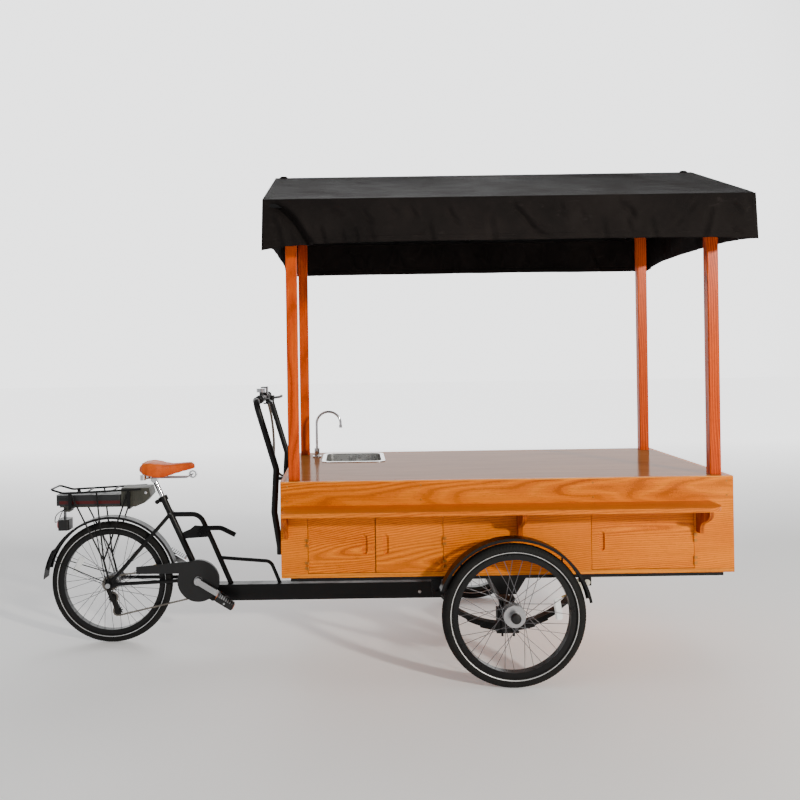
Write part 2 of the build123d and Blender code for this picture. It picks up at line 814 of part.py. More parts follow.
def canopy_frame():
    """A welded square-tube frame: eaves ring, cross bars, rafters, king posts and ridge."""
    z_span = (canopy_frame_bottom, canopy_frame_top)
    x_all = (ahead(-frame_half_x), ahead(frame_half_x))
    y_all = (-frame_half_y, frame_half_y)
    tube = canopy_tube
    roof_under = ridge_height - cover_thickness - 8
    ridge_bottom = roof_under - roof_slope * tube / 2 - tube
    solids = [block(x_all, (-frame_half_y, tube - frame_half_y), z_span),
              block(x_all, (frame_half_y - tube, frame_half_y), z_span),
              block((x_all[0], x_all[0] + tube), y_all, z_span),
              block((x_all[1] - tube, x_all[1]), y_all, z_span),
              block(x_all, (-post_y - tube / 2, -post_y + tube / 2), z_span),
              block(x_all, (post_y - tube / 2, post_y + tube / 2), z_span),
              block(x_all, (-tube / 2, tube / 2), (ridge_bottom, ridge_bottom + tube))]
    for x in (-post_x, post_x):
        cross = (ahead(x) - tube / 2, ahead(x) + tube / 2)
        solids.append(block(cross, y_all, z_span))
        solids.append(block(cross, (-tube / 2, tube / 2), (canopy_frame_bottom, ridge_bottom + 1)))
    for x in (-frame_half_x, -tube / 2, frame_half_x - tube):
        with BuildPart() as rafter:
            with BuildSketch(Plane.YZ.offset(ahead(x))):
                with BuildLine():
                    Polyline((-frame_half_y, canopy_frame_bottom), (-frame_half_y, canopy_frame_top),
                             (0, ridge_bottom + tube), (frame_half_y, canopy_frame_top),
                             (frame_half_y, canopy_frame_bottom), (frame_half_y - tube, canopy_frame_bottom),
                             (0, ridge_bottom), (tube - frame_half_y, canopy_frame_bottom), close=True)
                make_face()
            extrude(amount=tube)
        solids.append(rafter.part)
    return weld(*solids)


def canopy_cover():
    """The fabric roof with its valance, open underneath, as one closed shell."""
    hem = eaves_height - valance_height
    half = canopy_width / 2

    def house(grow, low, x_half):
        side = half - grow
        top = ridge_height - grow * (1 + roof_slope)
        eave = top - roof_slope * side
        with BuildPart() as solid:
            with BuildSketch(Plane.YZ.offset(ahead(-x_half))):
                with BuildLine():
                    Polyline((-side, low), (-side, eave), (0, top), (side, eave), (side, low), close=True)
                make_face()
            extrude(amount=2 * x_half)
        return solid.part

    outer = house(0, hem, canopy_length / 2)
    inner = house(cover_thickness, hem - 1, canopy_length / 2 - cover_thickness)
    bump_half = 20
    bump_rise = 10
    bump_width = 15
    bumps = []
    for x in (-canopy_length / 2 + 2 * bump_half, canopy_length / 2 - 2 * bump_half):
        bumps.append(block((ahead(x) - bump_half, ahead(x) + bump_half), (-bump_width, bump_width),
                           (ridge_height - 7, ridge_height + bump_rise), 10))
    with BuildPart() as cover:
        add(outer)
        add(inner, mode=Mode.SUBTRACT)
        add(bumps)
    return cover.part


# ---------------------------------------------------------------- handlebar and controls

box_rear_x = ahead(-half_box)
lever_pivot_x = ahead(-bar_behind_axle + 36)
lever_pivot_y = 135
lever_pivot_z = bar_top - 8
lever_pin_radius = 3


def bar_x():
    return ahead(-bar_behind_axle)


def handlebar():
    """A hoop of tube rising from the rear wall of the box, on four brackets."""
    y = bar_half_width
    low_x = box_rear_x - 22
    bow_x = box_rear_x - 46
    shoulder_x = box_rear_x - 34
    right = [(low_x, -y, 505), (low_x, -y, 540), (bow_x, -y, 700), (shoulder_x, -y, 900),
             (bar_x(), -y, bar_top)]
    left = [(x, -py, z) for x, py, z in reversed(right)]
    solids = [rod(right + left, bar_radius, [60, 60, 60, 45, 45, 60, 60, 60])]
    for side in (-1, 1):
        solids.append(block((low_x - 4, box_rear_x), (side * y - 13, side * y + 13), (508, 540)))
        solids.append(block((box_rear_x - 5, box_rear_x), (side * y - 32, side * y + 32), (495, 553), 0))
        solids.append(block((shoulder_x - 2, box_rear_x), (side * y - 10, side * y + 10), (850, 864)))
        solids.append(block((box_rear_x - 4, box_rear_x), (side * y - 24, side * y + 24), (842, 868)))
    return weld(*solids)


grip_outer = 18.5
grip_span = (160, 258)


def handlebar_grips():
    """Two rubber sleeves on the straight top of the hoop."""
    centre = (bar_x(), bar_top)
    sleeve = disc(centre, grip_outer, grip_span, bar_radius + running)
    return weld(*both_sides(sleeve))


def handlebar_controls():
    """Brake-lever clamps with their pivots, the display and the bell."""
    centre = (bar_x(), bar_top)
    clamp = [disc(centre, 21, (118, 144), bar_radius + running),
             block((bar_x() + 18, lever_pivot_x + 9), (126, 144), (lever_pivot_z - 14, lever_pivot_z - 8)),
             block((bar_x() + 16, lever_pivot_x + 9), (126, 144), (lever_pivot_z + 8, lever_pivot_z + 13)),
             upright((lever_pivot_x, lever_pivot_y), lever_pin_radius,
                     (lever_pivot_z - 9, lever_pivot_z + 9))]
    solids = both_sides(weld(*clamp))
    display = weld(disc(centre, 20, (62, 84), bar_radius + running),
                   block((bar_x() - 16, bar_x() + 17), (40, 106), (bar_top + 18, bar_top + 52), 6))
    bell_z = bar_top + 17
    bell = weld(disc(centre, 20, (-84, -62), bar_radius + running),
                upright((bar_x(), -73), 9, (bell_z, bell_z + 16)),
                upright((bar_x(), -73), 24, (bell_z + 15, bell_z + 34)))
    return weld(*solids, display, bell)


def brake_lever(side):
    """A cast lever blade with a ball end, bored for its pivot pin."""
    half_height = 7
    root = (lever_pivot_x, side * lever_pivot_y)
    tip = (lever_pivot_x + 32, side * (lever_pivot_y + 148))
    middle = (lever_pivot_x + 26, side * (lever_pivot_y + 60))
    with BuildPart() as lever:
        with BuildLine(Plane.XY.offset(lever_pivot_z)) as path:
            Spline(root, middle, tip)
        with BuildSketch(Plane(origin=path.line @ 0, z_dir=path.line % 0)):
            Rectangle(8, 12)
        sweep(path=path.wire())
        with Locations((tip[0], tip[1], lever_pivot_z)):
            Sphere(8)
        add(upright(root, 8, (lever_pivot_z - half_height, lever_pivot_z + half_height)))
        add(upright(root, lever_pin_radius + running, (lever_pivot_z - 10, lever_pivot_z + 10)),
            mode=Mode.SUBTRACT)
    return lever.part


cable_radius = 6
cable_points = [(bar_x() + 16, 104, 1180), (bar_x() + 30, 106, 1120), (bar_x() + 39, 104, 1050),
                (bar_x() + 43, 100, 975), (bar_x() + 42, 96, 905), (bar_x() + 50, 94, 850),
                (box_rear_x - 52, 92, 806), (box_rear_x, 92, 806)]


def cable_bends():
    """The largest bend that each corner of the cable has room for."""
    vectors = [Vector(*point) for point in cable_points]
    radii = []
    for before, corner, after in zip(vectors, vectors[1:], vectors[2:]):
        turn = (corner - before).get_angle(after - corner)
        shorter = min((corner - before).length, (after - corner).length)
        radii.append(0.45 * shorter / tan(radians(turn / 2)))
    return radii


def control_cable():
    """The wrapped cable loom from the display clamp down to the box, with its gland."""
    gland_radius = 12
    gland_length = 12
    loom = rod(cable_points, cable_radius, cable_bends())
    with BuildPart() as gland:
        with BuildSketch(Plane.YZ.offset(box_rear_x - gland_length)):
            with Locations(cable_points[-1][1:]):
                Circle(gland_radius)
        extrude(amount=gland_length)
    return weld(loom, gland.part)


# ---------------------------------------------------------------- tap

tap_x = ahead(-872)
tap_y = 326
tap_body_top = counter_height + 48
tap_arc = 65
tap_flange = 24
tap_tube = 6.5
tap_rise = counter_height + 179
tap_valve_z = counter_height + 27


def faucet_body():
    """The tap's base, body and side valve boss."""
    with BuildPart() as body:
        add(upright((tap_x, tap_y), tap_flange, (counter_height - board, counter_height + 6)))
        add(upright((tap_x, tap_y), 14, (counter_height + 5, tap_body_top)))
        add(disc((tap_x, tap_valve_z), 9, (tap_y - 26, tap_y)))
        add(upright((tap_x, tap_y), tap_tube + running, (tap_body_top - 8, tap_body_top + 1)),
            mode=Mode.SUBTRACT)
    return body.part


def faucet_spout():
    """The gooseneck, which swivels in the top of the body."""
    start = tap_body_top - 7
    with BuildPart() as spout:
        with BuildLine(Plane.XZ.offset(-tap_y)) as path:
            rise = Line((tap_x, start), (tap_x, tap_rise))
            over = CenterArc((tap_x + tap_arc, tap_rise), tap_arc, 180, -180)
            Line(over @ 1, (tap_x + 2 * tap_arc, tap_rise - 8))
        with BuildSketch(Plane.XY.offset(start)):
            with Locations((tap_x, tap_y)):
                Circle(tap_tube)
        sweep(path=path.wire())
        add(upright((tap_x + 2 * tap_arc, tap_y), 9, (tap_rise - 22, tap_rise - 6)))
    return spout.part


def faucet_lever():
    """The valve's handle: a cap on the boss with a short lever."""
    front = tap_y - 26 - slip
    return weld(disc((tap_x, tap_valve_z), 10, (front - 12, front)),
                rod([(tap_x, front - 6, tap_valve_z), (tap_x, front - 6, tap_valve_z + 34)], 3.5))


# ---------------------------------------------------------------- rear frame

crank_axis = (crank_x, crank_height)
seat_run = (-cos(radians(seat_angle)), sin(radians(seat_angle)))


def on_seat_tube(distance):
    """The (x, z) point that far up the seat tube from the crank axis."""
    return (crank_x + seat_run[0] * distance, crank_height + seat_run[1] * distance)


def side_point(point, y=0):
    return (point[0], y, point[1])


bb_shell_radius = 21
bb_half = 34
axle_bore = 10
brake_pivot = (from_rear(448), 543)
brake_pin_radius = 5
seat_tube_top = on_seat_tube(seat_tube_length)


def rear_frame():
    """The welded frame: beam, steering head, crank shell, seat tube, stays and brackets."""
    head_radius = 32
    head_low = beam_top - beam_height - 3
    stay_top_y = 40
    stay_radius = 8
    strut_radius = 12.5
    upper = on_seat_tube(356)
    beam_points = [(crank_x + 14, beam_top - 46), (crank_x - 12, crank_height - 14),
                   (crank_x - 4, beam_top + 4), (crank_x + 24, beam_top), (kingpin_x - 14, beam_top),
                   (kingpin_x - 14, beam_top - beam_height), (crank_x + 62, beam_top - beam_height)]
    solids = [plate(beam_points, (-beam_width / 2, beam_width / 2)),
              upright((kingpin_x, 0), head_radius, (head_low, beam_top + 14)),
              disc(crank_axis, bb_shell_radius, (-bb_half, bb_half)),
              rod([side_point(crank_axis), side_point(seat_tube_top)], seat_tube_radius)]
    strut = [side_point(on_seat_tube(352)), (from_rear(442), 0, 634), (from_rear(491), 0, 529),
             (from_rear(603), 0, beam_top - 20)]
    solids.append(rod(strut, strut_radius, [60, 120]))
    hoop = [(from_rear(544), 0, 414), (from_rear(796), 0, 392), (from_rear(848), 0, beam_top - 20)]
    solids.append(rod(hoop, 9, 40))
    bracket = [(from_rear(342), 538), (from_rear(394), 560), (from_rear(416), 578), (from_rear(466), 574),
               (from_rear(498), 520), (from_rear(354), 512)]
    solids.append(plate(bracket, (-3, 3)))
    solids.append(disc(brake_pivot, brake_pin_radius, (-42, 0)))
    solids.append(rod([(upper[0], -stay_top_y - 4, upper[1]), (upper[0], stay_top_y + 4, upper[1])], 9))
    for side in (-1, 1):
        drop_y = side * (dropout_half + dropout_plate / 2)
        solids.append(rod([(upper[0], side * stay_top_y, upper[1]),
                           (rear_axle_x + 16, drop_y, rear_axle[1] + 20)], stay_radius))
        solids.append(rod([(crank_x - 6, side * 24, crank_height - 2),
                           (rear_axle_x + 24, drop_y, rear_axle[1] + 2)], stay_radius + 1))
        y_span = (side * dropout_half, side * (dropout_half + dropout_plate))
        outline = [(rear_axle_x - 22, rear_axle[1] + 4), (rear_axle_x - 14, rear_axle[1] + 28),
                   (rear_axle_x + 30, rear_axle[1] + 36), (rear_axle_x + 46, rear_axle[1] + 12),
                   (rear_axle_x + 34, rear_axle[1] - 12), (rear_axle_x - 8, rear_axle[1] - 22)]
        solids.append(plate(outline, (min(y_span), max(y_span))))
    post_low = seat_tube_length - seat_post_hidden - 70
    bore = rod([side_point(on_seat_tube(post_low)), side_point(on_seat_tube(seat_tube_length + 10))],
               seat_post_radius + running)
    pivot_bore = upright((kingpin_x, 0), kingpin_radius + running, (head_low - 1, beam_top + 20))
    with BuildPart() as frame:
        add(solids)
        add(bore, mode=Mode.SUBTRACT)
        add(pivot_bore, mode=Mode.SUBTRACT)
        add(disc(crank_axis, axle_bore + running, (-bb_half - 1, bb_half + 1)), mode=Mode.SUBTRACT)
        add(disc(rear_axle, rear_axle_radius + running, (-90, 90)), mode=Mode.SUBTRACT)
    return frame.part


seat_post_hidden = 110


def seat_collar():
    """The clamp ring at the top of the seat tube, with its bolt and end knobs."""
    low = on_seat_tube(seat_tube_length - 20)
    high = on_seat_tube(seat_tube_length + 4)
    ears = on_seat_tube(seat_tube_length - 8)
    back = (ears[0] - 25 * sin(radians(seat_angle)), ears[1] - 25 * cos(radians(seat_angle)))
    with BuildPart() as collar:
        add(rod([side_point(low), side_point(high)], seat_tube_radius + 7))
        add(disc(back, 9, (-14, 14)))
        add(disc(back, 5, (-34, 34)))
        add(disc(back, 11, (-40, -26)))
        add(disc(back, 11, (26, 40)))
        add(rod([side_point(on_seat_tube(seat_tube_length - 40)),
                 side_point(on_seat_tube(seat_tube_length + 40))], seat_tube_radius + running),
            mode=Mode.SUBTRACT)
    return collar.part


post_top = seat_tube_length + seat_post_reach


def seat_post():
    """The chrome post, with the saddle clamp on top."""
    top = on_seat_tube(post_top)
    return weld(rod([side_point(on_seat_tube(seat_tube_length - seat_post_hidden)), side_point(top)],
                    seat_post_radius),
                disc((top[0], top[1] + 4), 17, (-16, 16)))


saddle_front = 422
saddle_rear = 146
saddle_top_z = 908
saddle_skirt_z = 829


def saddle_top():
    """The leather top: the plan outline cut by the side outline."""
    half = 82
    nose = 24
    front = from_rear(saddle_front)
    rear = from_rear(saddle_rear)
    with BuildPart() as top:
        with BuildSketch(Plane.XY.offset(saddle_skirt_z)):
            with BuildLine():
                Spline((front, 0), (front - 16, nose - 3), (front - 130, nose + 8), (rear + 60, half),
                       (rear, 34), (rear, -34), (rear + 60, -half), (front - 130, -nose - 8),
                       (front - 16, 3 - nose), periodic=True)
            make_face()
        extrude(amount=saddle_top_z - saddle_skirt_z)
        with BuildSketch(Plane.XZ.offset(-half - 20)):
            with BuildLine():
                upper = Spline((rear - 1, 872), (rear + 30, saddle_top_z - 1), (rear + 120, 894),
                               (front - 60, 897), (front + 1, 878))
                Line(upper @ 1, (front + 1, 866))
                Polyline((front + 1, 866), (rear + 160, saddle_skirt_z), (rear + 110, saddle_skirt_z),
                         (rear - 1, 858))
                Line((rear - 1, 858), upper @ 0)
            make_face()
        extrude(amount=2 * half + 40, mode=Mode.INTERSECT)
    return top.part


def saddle_frame():
    """The two rails, the rear coil springs and the front nose loop."""
    rail_y = 20
    rail_z = on_seat_tube(post_top)[1] + 12
    rear = from_rear(saddle_rear)
    front = from_rear(saddle_front)
    solids = []
    for side in (-1, 1):
        rail = [(rear + 28, side * 45, rail_z), (rear + 62, side * rail_y, rail_z),
                (front - 40, side * rail_y, rail_z), (front - 12, side * 10, rail_z + 14)]
        solids.append(rod(rail, 3.5, 12))
        solids.append(upright((rear + 26, side * 45), 15, (rail_z - 6, saddle_skirt_z + 14), 9))
    solids.append(disc((front - 10, 838), 20, (-14, 14), 12))
    return weld(*solids)


# ---------------------------------------------------------------- rack, battery, light

rack_half = 65
rack_rod = 5
battery_half = 50
battery_rear = -263
battery_front = 61
battery_low = 694
battery_high = 747


def rear_rack():
    """The carrier: a bent hoop, cross bars and legs that fan up from each axle end."""
    hoop_right = [(from_rear(164), -rack_half, 775), (from_rear(-216), -rack_half, 758),
                  (from_rear(-282), -rack_half, 778)]
    hoop_left = [(x, -y, z) for x, y, z in reversed(hoop_right)]
    solids = [rod(hoop_right + hoop_left, rack_rod, [40, 18, 18, 40])]
    for position, height in ((24, 769), (-106, 763)):
        bar_ends = [(from_rear(position), -rack_half, height), (from_rear(position), rack_half, height)]
        solids.append(rod(bar_ends, 4))
    leg_y = dropout_half + dropout_plate + 4
    for side in (-1, 1):
        knee = (from_rear(-22), side * leg_y, 425)
        solids.append(rod([(rear_axle_x - 1, side * leg_y, rear_axle[1] + 34), knee], 5))
        solids.append(disc((rear_axle_x - 1, rear_axle[1]), 14, (side * leg_y - 4, side * leg_y + 4), 8))
        solids.append(block((rear_axle_x - 5, rear_axle_x + 3), (side * leg_y - 4, side * leg_y + 4),
                            (rear_axle[1] + 10, rear_axle[1] + 40)))
        for position, height in ((-186, 760), (-56, 765), (104, 772)):
            solids.append(rod([knee, (from_rear(position), side * rack_half, height)], 4))
    height = 684
    reach = rack_half + 5
    for position in (-186, 104):
        strap = (from_rear(position) - 8, from_rear(position) + 8)
        solids.append(block(strap, (-reach, reach), (height - 6, height)))
        for side in (-1, 1):
            y_span = (side * rack_half, side * (rack_half + 4))
            solids.append(block(strap, (min(y_span), max(y_span)), (height - 6, height + 78)))
    return weld(*solids)


def battery_pack():
    """The battery case, which slides out to the rear."""
    return block((from_rear(battery_rear), from_rear(battery_front)), (-battery_half, battery_half),
                 (battery_low, battery_high), 12)


def battery_dock():
    """The fixed front housing, the tray under the battery and the lock box."""
    cap = [(from_rear(63), 686), (from_rear(63), 779), (from_rear(200), 779), (from_rear(210), 740),
           (from_rear(178), 704), (from_rear(134), 686)]
    return weld(plate(cap, (-52, 52)),
                block((from_rear(-246), from_rear(64)), (-40, 40), (battery_low - 10, battery_low - slip)),
                block((from_rear(-226), from_rear(-200)), (-30, 30), (660, battery_low - 9), 5))


def tail_light():
    """A rounded lamp on a strip that hangs from the rear of the rack."""
    lamp = block((from_rear(-261), from_rear(-206)), (-38, 38), (568, 622), 12)
    strip = block((from_rear(-237), from_rear(-233)), (-15, 15), (620, 683))
    hook = block((from_rear(-247), from_rear(-233)), (-15, 15), (680, 683))
    return weld(lamp, strip, hook)


# ---------------------------------------------------------------- drive train


def pitch_radius(teeth):
    return chain_pitch / (2 * sin(pi / teeth))


upper_jockey = (from_rear(14), 236)
lower_jockey = (from_rear(38), 168)
wheels_of_chain = [
    (rear_axle, pitch_radius(sprocket_teeth), 1),
    (crank_axis, pitch_radius(chainring_teeth), 1),
    (lower_jockey, pitch_radius(jockey_teeth), 1),
    (upper_jockey, pitch_radius(jockey_teeth), -1),
]
disc_half = 1.5
ribbon_inner = 3.0
ribbon_outer = 4.2


def toothed_disc(centre, teeth, y_span, bore):
    """A sprocket with one notch for each chain roller."""
    roller = 4.1
    pitch = pitch_radius(teeth)
    tip = pitch + 2.6
    with BuildPart() as solid:
        with BuildSketch(Plane.XZ.offset(-y_span[1])):
            with Locations(centre):
                Circle(tip)
                with PolarLocations(pitch, teeth):
                    Circle(roller, mode=Mode.SUBTRACT)
                Circle(bore, mode=Mode.SUBTRACT)
        extrude(amount=y_span[1] - y_span[0])
    return solid.part


def chain_outline(grow):
    """The chain's closed path round all four wheels, moved outwards by grow."""
    circles = [(centre, radius + turn * grow, turn) for centre, radius, turn in wheels_of_chain]
    leaving = []
    arriving = []
    count = len(circles)
    for index in range(count):
        (x0, z0), r0, turn0 = circles[index]
        (x1, z1), r1, turn1 = circles[(index + 1) % count]
        gap = hypot(x1 - x0, z1 - z0)
        normal = atan2(z1 - z0, x1 - x0) + acos((turn0 * r0 - turn1 * r1) / gap)
        leaving.append(degrees(normal) + (0 if turn0 > 0 else 180))
        arriving.append(degrees(normal) + (0 if turn1 > 0 else 180))
    with BuildSketch(Plane.XZ) as face:
        with BuildLine():
            ends = []
            for index, (centre, radius, turn) in enumerate(circles):
                start = arriving[index - 1]
                swing = (leaving[index] - start) % 360
                if turn > 0:
                    swing -= 360
                arc = CenterArc(centre, radius, start, swing)
                ends.append((arc @ 0, arc @ 1))
            for index in range(count):
                Line(ends[index][1], ends[(index + 1) % count][0])
        make_face()
    return face.sketch


def chain():
    """The chain as two side-plate ribbons round the sprockets' rims."""
    half_height = 4
    solids = []
    for low, high in ((chain_line + ribbon_inner, chain_line + ribbon_outer),
                      (chain_line - ribbon_outer, chain_line - ribbon_inner)):
        with BuildPart() as ribbon:
            with BuildSketch(Plane.XZ.offset(low)):
                add(chain_outline(half_height))
                add(chain_outline(-half_height), mode=Mode.SUBTRACT)
            extrude(amount=high - low)
        solids.append(ribbon.part)
    return weld(*solids)


teeth_span = (-chain_line - disc_half, -chain_line + disc_half)


def crank_arms():
    """The axle, both arms, the chainring spider and the pedal spindles."""
    arm_in = 62
    arm_out = 76
    spindle_end = 152
    solids = [disc(crank_axis, axle_bore, (-arm_out, arm_out)),
              disc(crank_axis, 46, (-chain_line - disc_half - 5, -chain_line - disc_half)),
              disc(crank_axis, 18, (-arm_out, -bb_half - 2)), disc(crank_axis, 18, (bb_half + 2, arm_out))]
    for side, angle in ((-1, crank_angle), (1, crank_angle + 180)):
        end = on_circle(crank_axis, crank_length, angle)
        middle = on_circle(crank_axis, crank_length / 2, angle)
        y_span = sorted((side * arm_in, side * arm_out))
        with BuildPart() as arm:
            with BuildSketch(Plane.XZ.offset(-y_span[1])):
                with Locations(Location((middle[0], middle[1], 0), (0, 0, angle))):
                    SlotCenterToCenter(crank_length, 28)
            extrude(amount=y_span[1] - y_span[0])
        spindle = sorted((side * arm_out, side * spindle_end))
        solids += [arm.part, disc(end, pedal_spindle, (spindle[0] - 1, spindle[1] + 1))]
    return weld(*solids)


pedal_spindle = 5


def chainring():
    """The front sprocket."""
    return toothed_disc(crank_axis, chainring_teeth, teeth_span, 34)


def pedal(side, angle):
    """A flat pedal that turns on its spindle, lined up with the crank."""
    centre = on_circle(crank_axis, crank_length, angle)
    y_span = sorted((side * 84, side * 150))
    with BuildPart() as body:
        with BuildSketch(Plane.XZ.offset(-y_span[1])):
            with Locations(Location((centre[0], centre[1], 0), (0, 0, angle))):
                RectangleRounded(94, 24, 8)
                Circle(pedal_spindle + running, mode=Mode.SUBTRACT)
        extrude(amount=y_span[1] - y_span[0])
    return body.part


def rear_sprocket():
    """The freewheel sprocket and its body beside the hub."""
    bore = rear_axle_radius + running
    return weld(toothed_disc(rear_axle, sprocket_teeth, teeth_span, bore),
                disc(rear_axle, 22, (-chain_line - 6, -rear_hub_half - 3), bore))


def jockey(centre):
    """A small toothed guide wheel."""
    return toothed_disc(centre, jockey_teeth, teeth_span, jockey_pin + running)


jockey_pin = 4


def derailleur():
    """The hanger, the swinging body and the two cage plates with their pins."""
    middle = ((upper_jockey[0] + lower_jockey[0]) / 2, (upper_jockey[1] + lower_jockey[1]) / 2)
    length = hypot(upper_jockey[0] - lower_jockey[0], upper_jockey[1] - lower_jockey[1])
    lean = degrees(atan2(upper_jockey[1] - lower_jockey[1], upper_jockey[0] - lower_jockey[0]))
    solids = []
    cage_gap = 7
    for low in (chain_line + cage_gap, chain_line - cage_gap - 2):
        with BuildPart() as cage:
            with BuildSketch(Plane.XZ.offset(low)):
                with Locations(Location((middle[0], middle[1], 0), (0, 0, lean))):
                    SlotCenterToCenter(length, 22)
            extrude(amount=2)
        solids.append(cage.part)
    for centre in (upper_jockey, lower_jockey):
        solids.append(disc(centre, jockey_pin, (-chain_line - cage_gap - 2, -chain_line + cage_gap + 2)))
    hanger = [(rear_axle_x - 14, rear_axle[1] - 25), (rear_axle_x + 6, rear_axle[1] - 25),
              (upper_jockey[0] + 4, upper_jockey[1] + 4), (upper_jockey[0] - 14, upper_jockey[1] + 8)]
    solids.append(plate(hanger, (-dropout_half - dropout_plate, -chain_line - cage_gap - 1)))
    solids.append(disc(upper_jockey, 13, (-dropout_half - dropout_plate, -chain_line - cage_gap - 1)))
    return weld(*solids)


def rear_axle_piece():
    """The rear axle with its spacers and end nuts."""
    nut_in = dropout_half + dropout_plate + 8 + press
    solids = [disc(rear_axle, rear_axle_radius, (-nut_in - 14, nut_in + 14)),
              disc(rear_axle, 12, (nut_in, nut_in + 12)), disc(rear_axle, 12, (-nut_in - 12, -nut_in)),
              disc(rear_axle, 10, (rear_hub_half + 1, dropout_half)),
              disc(rear_axle, 10, (-dropout_half, -chain_line - 7))]
    return weld(*solids)


def chain_case():
    """The guard plate over the chainring and the top run of the chain."""
    plate_span = (-58, -56)
    rim_span = (-58, -38)
    tip_x = from_rear(133)
    arm = [(tip_x, 352), (tip_x, 388), (crank_x - 40, 412), (crank_x, 412), (crank_x, 352)]
    case_radius = 104
    with BuildPart() as case:
        add(disc(crank_axis, case_radius, plate_span))
        add(plate(arm, plate_span))
        add(sector(crank_axis, (case_radius - 2, case_radius), (-60, 100), rim_span))
        add(disc(crank_axis, 22, (-60, -50)), mode=Mode.SUBTRACT)
    return case.part


def parking_brake_lever():
    """A bent hand lever on the frame's brake plate."""
    grip_radius = 12
    y = -28
    root = [(brake_pivot[0] - 10, brake_pivot[1] + 8), (brake_pivot[0] + 8, brake_pivot[1] - 11),
            (from_rear(498), 561), (from_rear(498), 578), (from_rear(478), 580)]
    with BuildPart() as lever:
        add(disc(brake_pivot, 15, (y - 10, y + 12)))
        add(plate(root, (y - 6, y + 6)))
        add(rod([(from_rear(480), y, 569), (from_rear(552), y, 570), (from_rear(624), y, 533)],
                grip_radius, [60]))
        add(disc(brake_pivot, brake_pin_radius + running, (-60, 0)), mode=Mode.SUBTRACT)
    return lever.part


# ---------------------------------------------------------------- the nodes

right_wheel = front_wheel(-1)
left_wheel = front_wheel(1)

nodes = {
    "chassis_frame": chassis_frame(),
    "leaf_springs": leaf_springs(),
    "front_axle": front_axle_beam(),
    "front_mudguards": front_mudguards(),
    "box_floor": box_floor(),
    "side_panels": side_panels(),
    "cross_panels": cross_panels(),
    "counter_top": counter_top(),
    "apron_boards": apron_boards(),
    "side_shelf": side_shelf(),
    "shelf_corbels": shelf_corbels(),
    "sink_bowl": sink_bowl(),
    "water_system": water_system(),
    "canopy_posts": canopy_posts(),
    "canopy_frame": canopy_frame(),
    "canopy_cover": canopy_cover(),
    "handlebar": handlebar(),
    "handlebar_grips": handlebar_grips(),
    "handlebar_controls": handlebar_controls(),
    "control_cable": control_cable(),
    "faucet_body": faucet_body(),
    "faucet_spout": faucet_spout(),
    "faucet_lever": faucet_lever(),
    "door_hinges": door_hinges(),
    "door_rear": door("rear"),
    "door_middle": door("middle"),
    "door_front": door("front"),
    "brake_lever_right": brake_lever(-1),
    "brake_lever_left": brake_lever(1),
    "front_tyre_right": right_wheel[0],
    "front_rim_right": right_wheel[1],
    "front_hub_right": right_wheel[2],
    "front_tyre_left": left_wheel[0],
    "front_rim_left": left_wheel[1],
    "front_hub_left": left_wheel[2],
    "rear_frame": rear_frame(),
    "rear_mudguard": rear_mudguard(),
    "rear_rack": rear_rack(),
    "battery_dock": battery_dock(),
    "battery_pack": battery_pack(),
    "tail_light": tail_light(),
    "chain_case": chain_case(),
    "rear_axle": rear_axle_piece(),
    "seat_collar": seat_collar(),
    "seat_post": seat_post(),
    "saddle_top": saddle_top(),
    "saddle_frame": saddle_frame(),
    "derailleur": derailleur(),
    "chain": chain(),
    "crank_arms": crank_arms(),
    "chainring": chainring(),
    "pedal_right": pedal(-1, crank_angle),
    "pedal_left": pedal(1, crank_angle + 180),
    "rear_tyre": tyre(rear_axle, 0, rear_tyre_radius, rear_tyre_width),
    "rear_rim": rim(rear_axle, 0, rear_tyre_radius, rear_tyre_width),
    "rear_hub": hub(rear_axle, 0, rear_tyre_radius, rear_barrel, rear_flange_radius, rear_flange_y,
                    rear_hub_half, rear_axle_radius),
    "rear_sprocket": rear_sprocket(),
    "jockey_upper": jockey(upper_jockey),
    "jockey_lower": jockey(lower_jockey),
    "parking_brake_lever": parking_brake_lever(),
}

os.makedirs("parts", exist_ok=True)
for name, piece in nodes.items():
    piece.label = name
    export_step(piece, f"parts/{name}.step")
print("cable bend radii", [round(radius) for radius in cable_bends()])
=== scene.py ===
import math
import random

import bpy
import bmesh
from mathutils import Matrix, Vector, noise


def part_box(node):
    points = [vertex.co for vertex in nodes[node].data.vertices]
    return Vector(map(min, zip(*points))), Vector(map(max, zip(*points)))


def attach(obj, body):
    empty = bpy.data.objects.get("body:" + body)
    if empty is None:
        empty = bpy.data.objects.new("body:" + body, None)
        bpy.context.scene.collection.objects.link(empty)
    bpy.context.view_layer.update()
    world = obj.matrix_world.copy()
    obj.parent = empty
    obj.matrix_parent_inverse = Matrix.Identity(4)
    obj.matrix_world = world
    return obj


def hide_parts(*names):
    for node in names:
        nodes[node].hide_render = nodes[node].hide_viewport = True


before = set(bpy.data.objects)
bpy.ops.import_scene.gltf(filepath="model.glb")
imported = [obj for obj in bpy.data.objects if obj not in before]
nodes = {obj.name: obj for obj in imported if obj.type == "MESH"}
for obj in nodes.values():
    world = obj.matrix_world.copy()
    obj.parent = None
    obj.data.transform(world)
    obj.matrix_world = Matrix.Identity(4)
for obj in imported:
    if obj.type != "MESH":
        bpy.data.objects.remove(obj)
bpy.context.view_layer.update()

# ------------------------------------------------------------------ camera, floor and light

camera = bpy.data.objects.new("camera", bpy.data.cameras.new("camera"))
bpy.context.scene.collection.objects.link(camera)
camera.data.sensor_width = 36
camera.data.lens = 36.5
camera.data.shift_x = 0.06
camera.data.shift_y = -0.064
camera.location = (-0.082, -4.080, 1.454)
camera.rotation_euler = (math.radians(90), math.radians(0.84), 0)
bpy.context.scene.camera = camera


